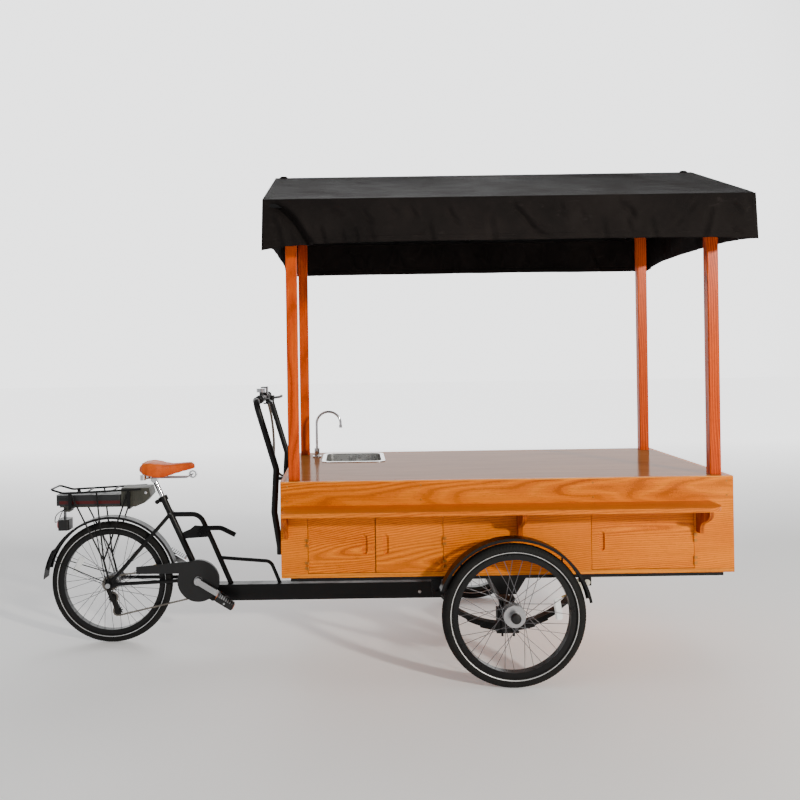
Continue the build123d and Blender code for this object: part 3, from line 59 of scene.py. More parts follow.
def area_light(name, place, target, size, watts, colour=(1, 1, 1)):
    light = bpy.data.lights.new(name, "AREA")
    light.shape = "RECTANGLE"
    light.size, light.size_y = size
    light.energy = watts
    light.color = colour
    obj = bpy.data.objects.new(name, light)
    bpy.context.scene.collection.objects.link(obj)
    obj.location = place
    obj.rotation_euler = (Vector(target) - Vector(place)).to_track_quat("-Z", "Y").to_euler()


area_light("key", (4.6, -5.7, 2.85), (0.3, 0, 0.8), (0.4, 0.4), 460, (1, 0.95, 0.86))
area_light("fill", (-4.8, -4.6, 2.6), (0.0, 0, 0.8), (3.0, 3.0), 40, (0.95, 0.97, 1))
area_light("back", (0.5, 5.2, 4.4), (0.2, 0, 1.0), (4.0, 2.5), 50)
area_light("top", (0.4, 0, 6.5), (0.4, 0, 0), (4.0, 4.0), 60)

world = bpy.data.worlds.new("studio")
world.use_nodes = True
sky = world.node_tree.nodes
sky_links = world.node_tree.links
direction = sky.new("ShaderNodeTexCoord").outputs["Generated"]
toward_backdrop = sky.new("ShaderNodeVectorMath")
toward_backdrop.operation = "DOT_PRODUCT"
toward_backdrop.inputs[1].default_value = (-0.05, 0.98, 0.10)
sky_links.new(direction, toward_backdrop.inputs[0])
glow = sky.new("ShaderNodeMapRange")
glow.interpolation_type = "SMOOTHSTEP"
for socket, number in (("From Min", 0.66), ("From Max", 0.86), ("To Min", 0.34), ("To Max", 2.8)):
    glow.inputs[socket].default_value = number
sky_links.new(toward_backdrop.outputs["Value"], glow.inputs["Value"])
sky_links.new(glow.outputs["Result"], sky["Background"].inputs["Strength"])
sky["Background"].inputs["Color"].default_value = (0.97, 0.975, 0.98, 1)
bpy.context.scene.world = world

# ------------------------------------------------------------------ material building blocks


class Look:
    """One procedural material, with short calls for the nodes it is made of."""

    def __init__(self, name, metallic=0.0, roughness=0.5, **sockets):
        self.material = bpy.data.materials.new(name)
        self.material.use_nodes = True
        self.tree = self.material.node_tree
        self.shader = self.tree.nodes["Principled BSDF"]
        self.shader.inputs["Metallic"].default_value = metallic
        self.shader.inputs["Roughness"].default_value = roughness
        for socket, value in sockets.items():
            self.shader.inputs[socket.replace("_", " ")].default_value = value
        self.object_space = self.tree.nodes.new("ShaderNodeTexCoord").outputs["Object"]

    def link(self, value, socket):
        if isinstance(value, bpy.types.NodeSocket):
            self.tree.links.new(value, socket)
        else:
            socket.default_value = value

    def place(self, scale=(1, 1, 1), turn=(0, 0, 0), offset=(0, 0, 0), vector=None):
        node = self.tree.nodes.new("ShaderNodeMapping")
        self.tree.links.new(vector or self.object_space, node.inputs["Vector"])
        node.inputs["Scale"].default_value = scale
        node.inputs["Rotation"].default_value = [math.radians(a) for a in turn]
        node.inputs["Location"].default_value = offset
        return node.outputs["Vector"]

    def noise(self, vector, scale, detail=4.0, rough=0.55, distortion=0.0):
        node = self.tree.nodes.new("ShaderNodeTexNoise")
        self.link(vector, node.inputs["Vector"])
        node.inputs["Scale"].default_value = scale
        node.inputs["Detail"].default_value = detail
        node.inputs["Roughness"].default_value = rough
        node.inputs["Distortion"].default_value = distortion
        return node.outputs["Fac"]

    def wave(self, vector, scale, kind="BANDS", axis="X", distortion=0.0, detail=2.0, detail_scale=1.0):
        node = self.tree.nodes.new("ShaderNodeTexWave")
        node.wave_type = kind
        if kind == "BANDS":
            node.bands_direction = axis
        else:
            node.rings_direction = axis
        self.link(vector, node.inputs["Vector"])
        node.inputs["Scale"].default_value = scale
        node.inputs["Distortion"].default_value = distortion
        node.inputs["Detail"].default_value = detail
        node.inputs["Detail Scale"].default_value = detail_scale
        return node.outputs["Fac"]

    def cells(self, vector, scale, feature="F1"):
        node = self.tree.nodes.new("ShaderNodeTexVoronoi")
        node.feature = feature
        self.link(vector, node.inputs["Vector"])
        node.inputs["Scale"].default_value = scale
        return node.outputs["Distance"]

    def ramp(self, value, *stops):
        node = self.tree.nodes.new("ShaderNodeValToRGB")
        self.link(value, node.inputs["Fac"])
        elements = node.color_ramp.elements
        while len(elements) < len(stops):
            elements.new(0.5)
        for element, (position, colour) in zip(elements, stops):
            element.position = position
            element.color = (*colour, 1) if len(colour) == 3 else colour
        return node.outputs["Color"]

    def span(self, value, low, high, to_low=0.0, to_high=1.0):
        node = self.tree.nodes.new("ShaderNodeMapRange")
        self.link(value, node.inputs["Value"])
        for socket, number in (("From Min", low), ("From Max", high), ("To Min", to_low),
                               ("To Max", to_high)):
            node.inputs[socket].default_value = number
        return node.outputs["Result"]

    def maths(self, operation, a, b=0.0):
        node = self.tree.nodes.new("ShaderNodeMath")
        node.operation = operation
        self.link(a, node.inputs[0])
        self.link(b, node.inputs[1])
        return node.outputs["Value"]

    def mix(self, factor, a, b):
        node = self.tree.nodes.new("ShaderNodeMix")
        node.data_type = "RGBA"
        self.link(factor, node.inputs["Factor"])
        for value, socket in ((a, node.inputs[6]), (b, node.inputs[7])):
            self.link((*value, 1) if isinstance(value, tuple) and len(value) == 3 else value, socket)
        return node.outputs[2]

    def axis(self, name, vector=None):
        node = self.tree.nodes.new("ShaderNodeSeparateXYZ")
        self.tree.links.new(vector or self.object_space, node.inputs["Vector"])
        return node.outputs[name]

    def finish(self, colour=None, roughness=None, height=None, distance=0.001, strength=1.0):
        if colour is not None:
            self.link((*colour, 1) if isinstance(colour, tuple) else colour,
                      self.shader.inputs["Base Color"])
        if roughness is not None:
            self.link(roughness, self.shader.inputs["Roughness"])
        if height is not None:
            node = self.tree.nodes.new("ShaderNodeBump")
            node.inputs["Distance"].default_value = distance
            node.inputs["Strength"].default_value = strength
            self.link(height, node.inputs["Height"])
            self.tree.links.new(node.outputs["Normal"], self.shader.inputs["Normal"])
        return self.material


def stretch(along, with_grain, across):
    return tuple(with_grain if axis == along else across for axis in "XYZ")


def wood(name, along, dark, mid, light, figure=(0, 0, 0), rings=9.0, tilt=(0, 0, 0), gloss=0.4, coat=0.12,
         streak=0.5):
    """Varnished wood: growth rings cut at a slant, fibres, pores and slow changes of colour."""
    look = Look(name, roughness=gloss, Coat_Weight=coat, Coat_Roughness=0.25, Specular_IOR_Level=0.06)
    warp = look.noise(look.place(stretch(along, 1.3, 5.0), offset=figure), 1.0, 3.0, 0.5)
    bent = look.tree.nodes.new("ShaderNodeVectorMath")
    bent.operation = "ADD"
    spread = look.tree.nodes.new("ShaderNodeVectorMath")
    spread.operation = "SCALE"
    spread.inputs["Scale"].default_value = 0.075
    colour_noise = look.tree.nodes.new("ShaderNodeTexNoise")
    look.link(look.place(stretch(along, 1.1, 4.5), offset=figure), colour_noise.inputs["Vector"])
    colour_noise.inputs["Scale"].default_value = 1.0
    colour_noise.inputs["Detail"].default_value = 2.5
    look.tree.links.new(colour_noise.outputs["Color"], spread.inputs[0])
    look.tree.links.new(look.place(offset=figure, turn=tilt), bent.inputs[0])
    look.tree.links.new(spread.outputs["Vector"], bent.inputs[1])
    ring = look.wave(bent.outputs["Vector"], rings, "RINGS", along, 1.6, 3.0, 6.0)
    fibre = look.noise(look.place(stretch(along, 3.0, 260.0), offset=figure), 1.0, 3.0, 0.6)
    pores = look.noise(look.place(stretch(along, 26.0, 900.0), offset=figure), 1.0, 2.0, 0.5)
    body = look.ramp(ring, (0.0, light), (0.30, mid), (0.72, mid), (1.0, dark))
    board_tone = look.noise(look.place(stretch(along, 0.4, 9.0), offset=figure), 1.0, 2.0, 0.5)
    body = look.mix(look.span(board_tone, 0.40, 0.62, 0.0, 0.5), body, mid)
    body = look.mix(look.span(fibre, 0.35, 0.68, 0.0, streak), body, dark)
    body = look.mix(look.span(warp, 0.35, 0.7, 0.0, 0.45), body, light)
    body = look.mix(look.span(pores, 0.60, 0.70, 0.0, 0.55), body, tuple(0.45 * c for c in dark))
    rough = look.span(fibre, 0.3, 0.7, gloss - 0.06, gloss + 0.12)
    relief = look.maths("SUBTRACT", look.span(fibre, 0.3, 0.7), look.span(pores, 0.58, 0.70))
    return look.finish(body, rough, relief, 0.00025, 0.6)


def paint(name, colour, roughness=0.38, dust=0.35):
    """Sprayed paint with faint orange peel, dust and rubbed patches."""
    look = Look(name, roughness=roughness, Specular_IOR_Level=0.2)
    cloud = look.noise(look.place(), 9.0, 5.0, 0.6)
    fine = look.noise(look.place(), 260.0, 3.0, 0.5)
    scuff = look.noise(look.place((1, 1, 4)), 55.0, 6.0, 0.7)
    worn = tuple(min(1.0, 3.0 * c + 0.012) for c in colour)
    body = look.mix(look.span(cloud, 0.42, 0.72, 0.0, dust), colour,
                    tuple(min(1.0, 1.7 * c + 0.002) for c in colour))
    body = look.mix(look.span(scuff, 0.66, 0.74, 0.0, 0.55), body, worn)
    rough = look.span(cloud, 0.3, 0.7, roughness - 0.08, roughness + 0.16)
    return look.finish(body, rough, fine, 0.00012, 0.5)


def metal(name, colour, roughness=0.25, brushed=None, stain=0.25):
    """Bare metal with brushing or fine scratches and slightly duller patches."""
    look = Look(name, metallic=1.0, roughness=roughness)
    patch = look.noise(look.place(), 22.0, 5.0, 0.6)
    scale = stretch(brushed, 6.0, 900.0) if brushed else (420.0, 420.0, 420.0)
    lines = look.noise(look.place(scale), 1.0, 3.0, 0.6)
    dull = tuple(0.62 * c for c in colour)
    body = look.mix(look.span(patch, 0.45, 0.72, 0.0, stain), colour, dull)
    rough = look.maths("ADD", look.span(patch, 0.3, 0.7, roughness - 0.06, roughness + 0.10),
                       look.span(lines, 0.3, 0.7, -0.04, 0.06))
    return look.finish(body, rough, lines, 0.00006, 0.5)


def plastic(name, colour, roughness=0.5, grain=420.0, mottled=0.25):
    """Moulded plastic with a fine spark texture."""
    look = Look(name, roughness=roughness, Specular_IOR_Level=0.35)
    fine = look.cells(look.place(), grain)
    cloud = look.noise(look.place(), 16.0, 4.0, 0.55)
    paler = tuple(min(1.0, 1.6 * c + 0.004) for c in colour)
    body = look.mix(look.span(cloud, 0.4, 0.75, 0.0, mottled), colour, paler)
    rough = look.span(cloud, 0.3, 0.7, roughness - 0.07, roughness + 0.10)
    return look.finish(body, rough, fine, 0.0002, 0.35)


def rubber(name, colour, roughness=0.7):
    """Rubber with fine grain, dust in the hollows and a slight bloom."""
    look = Look(name, roughness=roughness, Specular_IOR_Level=0.15)
    fine = look.noise(look.place(), 700.0, 4.0, 0.6)
    dust = look.noise(look.place(), 30.0, 6.0, 0.65)
    body = look.mix(look.span(dust, 0.45, 0.75, 0.0, 0.4), colour, tuple(2.0 * c + 0.005 for c in colour))
    return look.finish(body, look.span(dust, 0.3, 0.7, roughness - 0.1, roughness + 0.1), fine, 0.0002, 0.5)


# ------------------------------------------------------------------ the materials

amber_dark = (0.34, 0.055, 0.0003)
amber_mid = (0.70, 0.158, 0.0004)
amber_light = (0.92, 0.262, 0.0022)
red_dark = (0.20, 0.014, 0.0003)
red_mid = (0.62, 0.060, 0.0006)
red_light = (0.84, 0.120, 0.0020)

box_wood = wood("box_wood", "X", amber_dark, amber_mid, amber_light, (0.3, 0.1, 0.62), 34.0,
                (1.5, 4.0, 2.0))
apron_wood = wood("apron_wood", "X", amber_dark, amber_mid, amber_light, (1.7, 0.25, -0.79), 36.0,
                  (0, 2.2, 1.5))
floor_wood = wood("floor_wood", "X", (0.40, 0.10, 0.003), (0.70, 0.19, 0.008), (0.85, 0.29, 0.02),
                  (2.3, 0.4, 1.1), 20.0)
shelf_wood = wood("shelf_wood", "X", amber_dark, (0.66, 0.14, 0.002), (0.86, 0.24, 0.01), (4.1, -0.3, 0.2),
                  32.0, (2, 1, 3))
# painted shade: the corbels get a darker copy of the post wood's colours, standing in for the shade they
# sit in under the shelf
corbel_wood_painted_shade = wood("corbel_wood_painted_shade", "Z", red_dark, (0.36, 0.075, 0.002), (0.55, 0.13, 0.006), (0.9, 0.3, 0.1),
                   30.0)
post_wood = wood("post_wood", "Z", red_dark, red_mid, red_light, (0.21, 0.34, 0.7), 30.0, (2.0, 2.5, 0),
                 0.36, 0.15, 0.65)
door_woods = {
    "door_rear": wood("door_wood_rear", "X", amber_dark, amber_mid, amber_light, (5.3, 0.42, -0.60), 36.0,
                      (0, 9.0, 3)),
    "door_middle": wood("door_wood_middle", "X", amber_dark, amber_mid, amber_light, (7.9, 0.36, -0.52),
                        40.0, (0, 7, 2)),
    "door_front": wood("door_wood_front", "X", amber_dark, amber_mid, amber_light, (9.7, 0.44, -0.61), 34.0,
                       (0, 3.2, 2)),
}


def laminate():
    look = Look("counter_laminate", roughness=0.3, Coat_Weight=0.30, Coat_Roughness=0.13,
                Specular_IOR_Level=0.0)
    fibre = look.noise(look.place((2.5, 120, 120)), 1.0, 4.0, 0.6)
    cloud = look.noise(look.place((1, 3, 3)), 3.0, 4.0, 0.6)
    body = look.ramp(fibre, (0.25, (0.26, 0.085, 0.020)), (0.75, (0.40, 0.150, 0.040)))
    body = look.mix(look.span(cloud, 0.4, 0.7, 0.0, 0.4), body, (0.46, 0.19, 0.055))
    return look.finish(body, look.span(cloud, 0.3, 0.7, 0.16, 0.28), fibre, 0.00008, 0.3)


def fabric(name, dark, light, roughness=0.82):
    """Woven canvas: two crossed sets of threads, patchy tone, and creases painted lighter as a highlight
    along them.
    """
    look = Look(name, roughness=roughness, Specular_IOR_Level=0.05)
    place = look.place()
    along = look.wave(place, 420.0, "BANDS", "X", 0.4, 1.0, 2.0)
    across = look.wave(look.place((0, 1, 1)), 420.0, "BANDS", "DIAGONAL", 0.4, 1.0, 2.0)
    weave = look.maths("MULTIPLY", along, across)
    cloud = look.noise(place, 5.0, 5.0, 0.6)
    crease = look.noise(look.place((1, 1, 2.5)), 18.0, 5.0, 0.6, 0.8)
    body = look.mix(look.span(cloud, 0.35, 0.75, 0.0, 1.0), dark, light)
    body = look.mix(look.span(weave, 0.0, 1.0, 0.0, 0.25), body, tuple(1.9 * c + 0.004 for c in light))
    # painted highlight: the cloth is made lighter along the creases
    body = look.mix(look.span(crease, 0.62, 0.78, 0.0, 0.35), body, tuple(2.4 * c + 0.006 for c in light))
    relief = look.maths("ADD", weave, look.maths("MULTIPLY", crease, 3.0))
    return look.finish(body, look.span(cloud, 0.3, 0.7, roughness - 0.08, roughness + 0.08), relief, 0.0006,
                       0.6)


counter_laminate = laminate()
canvas = fabric("canopy_fabric", (0.0058, 0.0048, 0.0046), (0.0150, 0.0120, 0.0112), 0.66)
frame_black = paint("frame_black", (0.0040, 0.0040, 0.0043), 0.34)
guard_black = paint("guard_black", (0.0040, 0.0040, 0.0044), 0.36)
spring_black = paint("spring_black", (0.0060, 0.0056, 0.0054), 0.5, 0.6)
zinc = metal("zinc_plate", (0.62, 0.60, 0.50), 0.34)
stainless = metal("stainless_steel", (0.66, 0.66, 0.65), 0.24, "X")
chrome = metal("chrome", (0.58, 0.58, 0.60), 0.10, None, 0.2)
steel = metal("steel", (0.48, 0.48, 0.49), 0.32)
chain_steel = metal("chain_steel", (0.20, 0.18, 0.16), 0.42, None, 0.6)
alloy = metal("alloy", (0.46, 0.465, 0.475), 0.30)
hub_alloy = metal("hub_alloy", (0.42, 0.42, 0.43), 0.30)
spoke_steel = metal("spoke_steel", (0.16, 0.16, 0.17), 0.36)
brass = metal("brass", (0.64, 0.44, 0.18), 0.34)
hinge_bronze = metal("hinge_brass", (0.44, 0.17, 0.035), 0.42, None, 0.6)
rim_black = paint("rim_black", (0.0060, 0.0060, 0.0064), 0.30)
tank_plastic = plastic("tank_plastic", (0.72, 0.76, 0.78), 0.45, 300.0, 0.5)
grip_rubber = rubber("grip_rubber", (0.007, 0.007, 0.0075), 0.72)
control_black = plastic("control_black", (0.007, 0.007, 0.0075), 0.42)
battery_grey = plastic("battery_grey", (0.014, 0.0145, 0.016), 0.42)
dock_olive = plastic("dock_grey", (0.045, 0.044, 0.034), 0.5)
tyre_rubber = rubber("tyre_rubber", (0.0085, 0.0082, 0.0078), 0.70)

plain = {
    "chassis_frame": frame_black, "leaf_springs": spring_black, "front_axle": spring_black,
    "front_mudguards": guard_black, "box_floor": floor_wood, "side_panels": box_wood,
    "cross_panels": box_wood,
    "counter_top": counter_laminate, "apron_boards": apron_wood, "side_shelf": shelf_wood,
    "shelf_corbels": corbel_wood_painted_shade, "sink_bowl": stainless, "water_system": tank_plastic,
    "canopy_posts": post_wood,
    "canopy_frame": frame_black, "canopy_cover": canvas, "handlebar": frame_black,
    "handlebar_grips": grip_rubber,
    "handlebar_controls": control_black, "control_cable": control_black, "faucet_body": chrome,
    "door_hinges": hinge_bronze, "faucet_spout": chrome, "faucet_lever": chrome,
    "brake_lever_right": control_black, "brake_lever_left": control_black,
    "rear_frame": frame_black, "rear_mudguard": guard_black, "rear_rack": frame_black,
    "battery_dock": dock_olive,
    "tail_light": control_black, "chain_case": control_black, "rear_axle": steel,
    "seat_collar": frame_black,
    "derailleur": spring_black, "chain": chain_steel, "rear_tyre": tyre_rubber, "rear_rim": rim_black,
    "rear_hub": hub_alloy, "rear_sprocket": chain_steel, "crank_arms": alloy, "chainring": chain_steel,
    "pedal_right": control_black, "pedal_left": control_black, "jockey_upper": control_black,
    "jockey_lower": control_black,
    "battery_pack": battery_grey, "seat_post": chrome, "saddle_top": canvas, "saddle_frame": chrome,
    "parking_brake_lever": grip_rubber,
}
for side in ("right", "left"):
    plain["front_tyre_" + side] = tyre_rubber
    plain["front_rim_" + side] = rim_black
    plain["front_hub_" + side] = hub_alloy
plain.update(door_woods)


def dress(node, *looks):
    """Gives a CAD node its materials in place of the plain ones."""
    mesh = nodes[node].data
    mesh.materials.clear()
    for look in looks:
        mesh.materials.append(look)


for node, look in plain.items():
    dress(node, look)


def repaint(node, look, chosen):
    """Gives the faces of a CAD node whose centre passes the test another material."""
    mesh = nodes[node].data
    mesh.materials.append(look)
    index = len(mesh.materials) - 1
    for face in mesh.polygons:
        if chosen(face.center, face.normal):
            face.material_index = index


spring_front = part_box("leaf_springs")[1].x
shackle_length = 0.065
repaint("leaf_springs", zinc, lambda centre, normal: centre.x > spring_front - shackle_length)

# ------------------------------------------------------------------ shape building blocks


def piece(name, points, faces, body, look, slot=None, smooth=True, looks=(), indices=None, replaced=()):
    """A mesh object that rides on a body, with its material; the slot argument is not used."""
    mesh = bpy.data.meshes.new(name)
    mesh.from_pydata([tuple(p) for p in points], [], faces)
    mesh.validate()
    for item in (look, *looks):
        mesh.materials.append(item)
    if indices is not None:
        mesh.polygons.foreach_set("material_index", indices)
    mesh.polygons.foreach_set("use_smooth", [smooth] * len(mesh.polygons))
    mesh.update()
    obj = bpy.data.objects.new(name, mesh)
    bpy.context.scene.collection.objects.link(obj)
    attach(obj, body)
    if replaced:
        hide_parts(*replaced)
    return obj


def sharpen(obj, degrees=35):
    """Keeps edges over that angle crisp."""
    bm = bmesh.new()
    bm.from_mesh(obj.data)
    limit = math.radians(degrees)
    for edge in bm.edges:
        if len(edge.link_faces) == 2 and edge.calc_face_angle(0) > limit:
            edge.smooth = False
    bm.to_mesh(obj.data)
    bm.free()
    return obj


def outward(obj):
    """Turns every face of a closed mesh outwards."""
    bm = bmesh.new()
    bm.from_mesh(obj.data)
    bmesh.ops.recalc_face_normals(bm, faces=bm.faces)
    bm.to_mesh(obj.data)
    bm.free()
    return obj


def thicken(obj, thickness):
    """Gives a surface its thickness, grown inwards from the shape as drawn."""
    thick = obj.modifiers.new("thickness", "SOLIDIFY")
    thick.thickness = thickness
    thick.offset = -1


def rows_to_faces(rows, around, closed_rows=False, closed_around=True):
    """Quads between rows of points, each row with that many points."""
    faces = []
    for row in range(rows if closed_rows else rows - 1):
        for step in range(around if closed_around else around - 1):
            a = row * around + step
            b = row * around + (step + 1) % around
            c = ((row + 1) % rows) * around + (step + 1) % around
            d = ((row + 1) % rows) * around + step
            faces.append((a, b, c, d))
    return faces


def frames_along(path):
    """A direction and two square directions at each point of a path, turning as little as they can."""
    path = [Vector(p) for p in path]
    result = []
    side = None
    for index, point in enumerate(path):
        ahead = path[min(index + 1, len(path) - 1)] - path[max(index - 1, 0)]
        ahead.normalize()
        if side is None:
            side = ahead.orthogonal().normalized()
        side = (side - ahead * side.dot(ahead)).normalized()
        result.append((point, ahead, side, ahead.cross(side)))
    return result


def tube(name, path, radius, body, look, slot=None, around=12, shape=None, replaced=()):
    """A capped tube along a path; shape gives the radius at (distance along, angle)."""
    points = []
    travelled = 0.0
    before = None
    frames = frames_along(path)
    for point, ahead, side, up in frames:
        if before is not None:
            travelled += (point - before).length
        before = point
        for step in range(around):
            angle = 2 * math.pi * step / around
            r = shape(travelled, angle) if shape else radius
            points.append(point + side * (r * math.cos(angle)) + up * (r * math.sin(angle)))
    faces = rows_to_faces(len(frames), around)
    faces.append(tuple(range(around - 1, -1, -1)))
    faces.append(tuple((len(frames) - 1) * around + step for step in range(around)))
    return outward(sharpen(piece(name, points, faces, body, look, slot, replaced=replaced), 50))


def centre_of(node):
    low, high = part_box(node)
    return (low + high) / 2


def merge(*meshes):
    """Several (points, faces) as one."""
    points, faces = [], []
    for new_points, new_faces in meshes:
        start = len(points)
        points += [tuple(p) for p in new_points]
        faces += [tuple(i + start for i in f) for f in new_faces]
    return points, faces


def screw_head(centre, normal, radius, height=None):
    """A domed screw head with a cross recess, as points and faces."""
    height = height or radius * 0.45
    normal = Vector(normal).normalized()
    side = normal.orthogonal().normalized()
    up = normal.cross(side)
    rings = [(1.0, 0.0), (1.0, 0.25), (0.86, 0.7), (0.55, 0.95), (0.22, 1.0)]
    points = []
    around = 16
    for share, rise in rings:
        for step in range(around):
            angle = 2 * math.pi * step / around
            sunk = 0.55 if share < 0.6 and step % 4 == 0 else 0.0
            points.append(Vector(centre) + (side * math.cos(angle) + up * math.sin(angle)) * radius * share
                          + normal * height * (rise - sunk * (1 if share < 0.5 else 0.6)))
    points.append(Vector(centre) + normal * height * 0.45)
    faces = rows_to_faces(len(rings), around)
    last = (len(rings) - 1) * around
    faces += [(last + step, last + (step + 1) % around, len(points) - 1) for step in range(around)]
    faces.append(tuple(range(around - 1, -1, -1)))
    return points, faces


# ------------------------------------------------------------------ canopy cloth

roof_low, roof_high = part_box("canopy_cover")
ridge_z = roof_high.z - 0.010
half_y = roof_high.y
hem_z = roof_low.z
drop = 0.182
eave_z = hem_z + drop
slope = (ridge_z - eave_z) / half_y
length_x = roof_high.x - roof_low.x
width_y = 2 * half_y

# each crease runs through points of (along from the rear corner, down from the eave),
# with its depth and half-width
near_creases = [
    ([(0.000, 0.012), (0.050, 0.022), (0.095, 0.050), (0.135, 0.090), (0.165, 0.135), (0.195, 0.182)],
     0.018, 0.013),
    ([(0.055, 0.060), (0.085, 0.110), (0.100, 0.182)], -0.009, 0.013),
    ([(0.285, 0.040), (0.345, 0.072)], 0.006, 0.008), ([(0.420, 0.050), (0.462, 0.102)], 0.006, 0.010),
    ([(0.530, 0.032), (0.582, 0.080)], 0.005, 0.009), ([(0.620, 0.036), (0.658, 0.088)], 0.006, 0.007),
    ([(0.784, 0.040), (0.805, 0.085), (0.838, 0.112)], 0.007, 0.009),
    ([(0.865, 0.098), (0.920, 0.132)], 0.005, 0.007),
    ([(0.330, 0.130), (0.345, 0.182)], 0.005, 0.008), ([(0.385, 0.120), (0.400, 0.182)], 0.005, 0.008),
    ([(0.240, 0.110), (0.262, 0.182)], 0.006, 0.010), ([(0.450, 0.120), (0.470, 0.182)], 0.004, 0.008),
    ([(1.055, 0.028), (1.097, 0.070), (1.156, 0.145), (1.207, 0.172)], 0.009, 0.009),
    ([(1.258, 0.028), (1.278, 0.080)], 0.005, 0.008), ([(1.340, 0.060), (1.372, 0.120)], 0.004, 0.012),
    ([(1.503, 0.028), (1.562, 0.062), (1.576, 0.096)], 0.008, 0.008),
    ([(1.545, 0.100), (1.560, 0.150)], 0.006, 0.008),
    ([(1.740, 0.136), (1.784, 0.096)], 0.005, 0.009), ([(1.800, 0.078), (1.850, 0.015)], 0.006, 0.007),
    ([(1.905, 0.050), (1.885, 0.120), (1.868, 0.182)], 0.006, 0.010),
    ([(1.985, 0.034), (2.032, 0.086)], 0.006, 0.007),
    ([(1.977, 0.136), (2.022, 0.162)], 0.005, 0.008), ([(2.052, 0.018), (2.078, 0.056)], 0.005, 0.006),
    ([(1.440, 0.110), (1.452, 0.182)], 0.004, 0.010), ([(0.960, 0.080), (0.975, 0.182)], 0.005, 0.014),
    ([(0.700, 0.090), (0.716, 0.182)], 0.005, 0.011), ([(1.640, 0.090), (1.660, 0.182)], 0.004, 0.011),
]


def random_creases(seed, length, count):
    rng = random.Random(seed)
    creases = []
    for index in range(count):
        start = length * (index + rng.random()) / count
        lean = rng.uniform(-0.05, 0.06)
        top = rng.uniform(0.015, 0.09)
        low = min(drop, top + rng.uniform(0.05, 0.14))
        middle = (start + lean * rng.uniform(0.2, 0.6), (top + low) / 2)
        creases.append(([(start, top), middle, (start + lean, low)], rng.uniform(0.003, 0.008),
                        rng.uniform(0.007, 0.013)))
    return creases


def crease_push(u, v, creases):
    """How far the cloth is pushed in at one point, by the creases near it."""
    total = 0.0
    for line, depth, wide in creases:
        best, share = None, 0.0
        reach = 4 * wide
        if not (min(p[0] for p in line) - reach < u < max(p[0] for p in line) + reach):
            continue
        runs = len(line) - 1
        for index in range(runs):
            (u0, v0), (u1, v1) = line[index], line[index + 1]
            du, dv = u1 - u0, v1 - v0
            t = max(0.0, min(1.0, ((u - u0) * du + (v - v0) * dv) / (du * du + dv * dv)))
            away_u, away_v = u - (u0 + t * du), v - (v0 + t * dv)
            distance = math.hypot(away_u, away_v)
            signed = math.copysign(distance, away_u * dv - away_v * du)
            if best is None or distance < abs(best):
                best, share = signed, (index + t) / runs
        taper = min(1.0, 4 * (share + 0.06), 4 * (1.06 - share) if line[-1][1] < 0.181 else 1.0)
        total -= depth * taper * (math.exp(-((best / wide) ** 2)) - 0.55
                                  * math.exp(-(((best - 1.9 * wide) / (1.2 * wide)) ** 2)))
    return total


corner_sag = {(-1, -1): 0.034, (1, -1): 0.014, (-1, 1): 0.030, (1, 1): 0.028}


def valance_shift(u, v, length, axis, side, creases, seed):
    """Outward push and change of height of a hanging panel's point, u along it and v below the eave."""
    down = v / drop
    edge = min(u, length - u)
    window = min(1.0, edge / 0.03) if v > 0 else 0.0
    swell = (0.007 * noise.noise((u * 3.1 + seed, 0.4, seed)) * down
             + 0.004 * noise.noise((u * 9 + seed, v * 9, 1.7)) * down)
    fine = 0.0016 * noise.noise((u * 38 + seed, v * 30, 4.2)) * min(1.0, 3 * down)
    push = (swell + fine + 1.6 * crease_push(u, v, creases) * min(1.0, 6 * down)) * window
    push += 0.006 * down * math.exp(-edge / 0.25)
    ends = [corner_sag[(end, side) if axis == "x" else (side, end)] for end in (-1, 1)]
    middle = {("x", -1): 0.002, ("x", 1): 0.026, ("y", -1): -0.028, ("y", 1): -0.012}[(axis, side)]
    near_start, near_end = math.exp(-u / 0.16), math.exp(-(length - u) / 0.16)
    sag = middle + (ends[0] - middle) * near_start + (ends[1] - middle) * near_end
    sag += 0.003 * noise.noise((u * 5 + seed, 3.3, 0.2)) * (1 - near_start) * (1 - near_end)
    return push, -sag * down ** 1.5


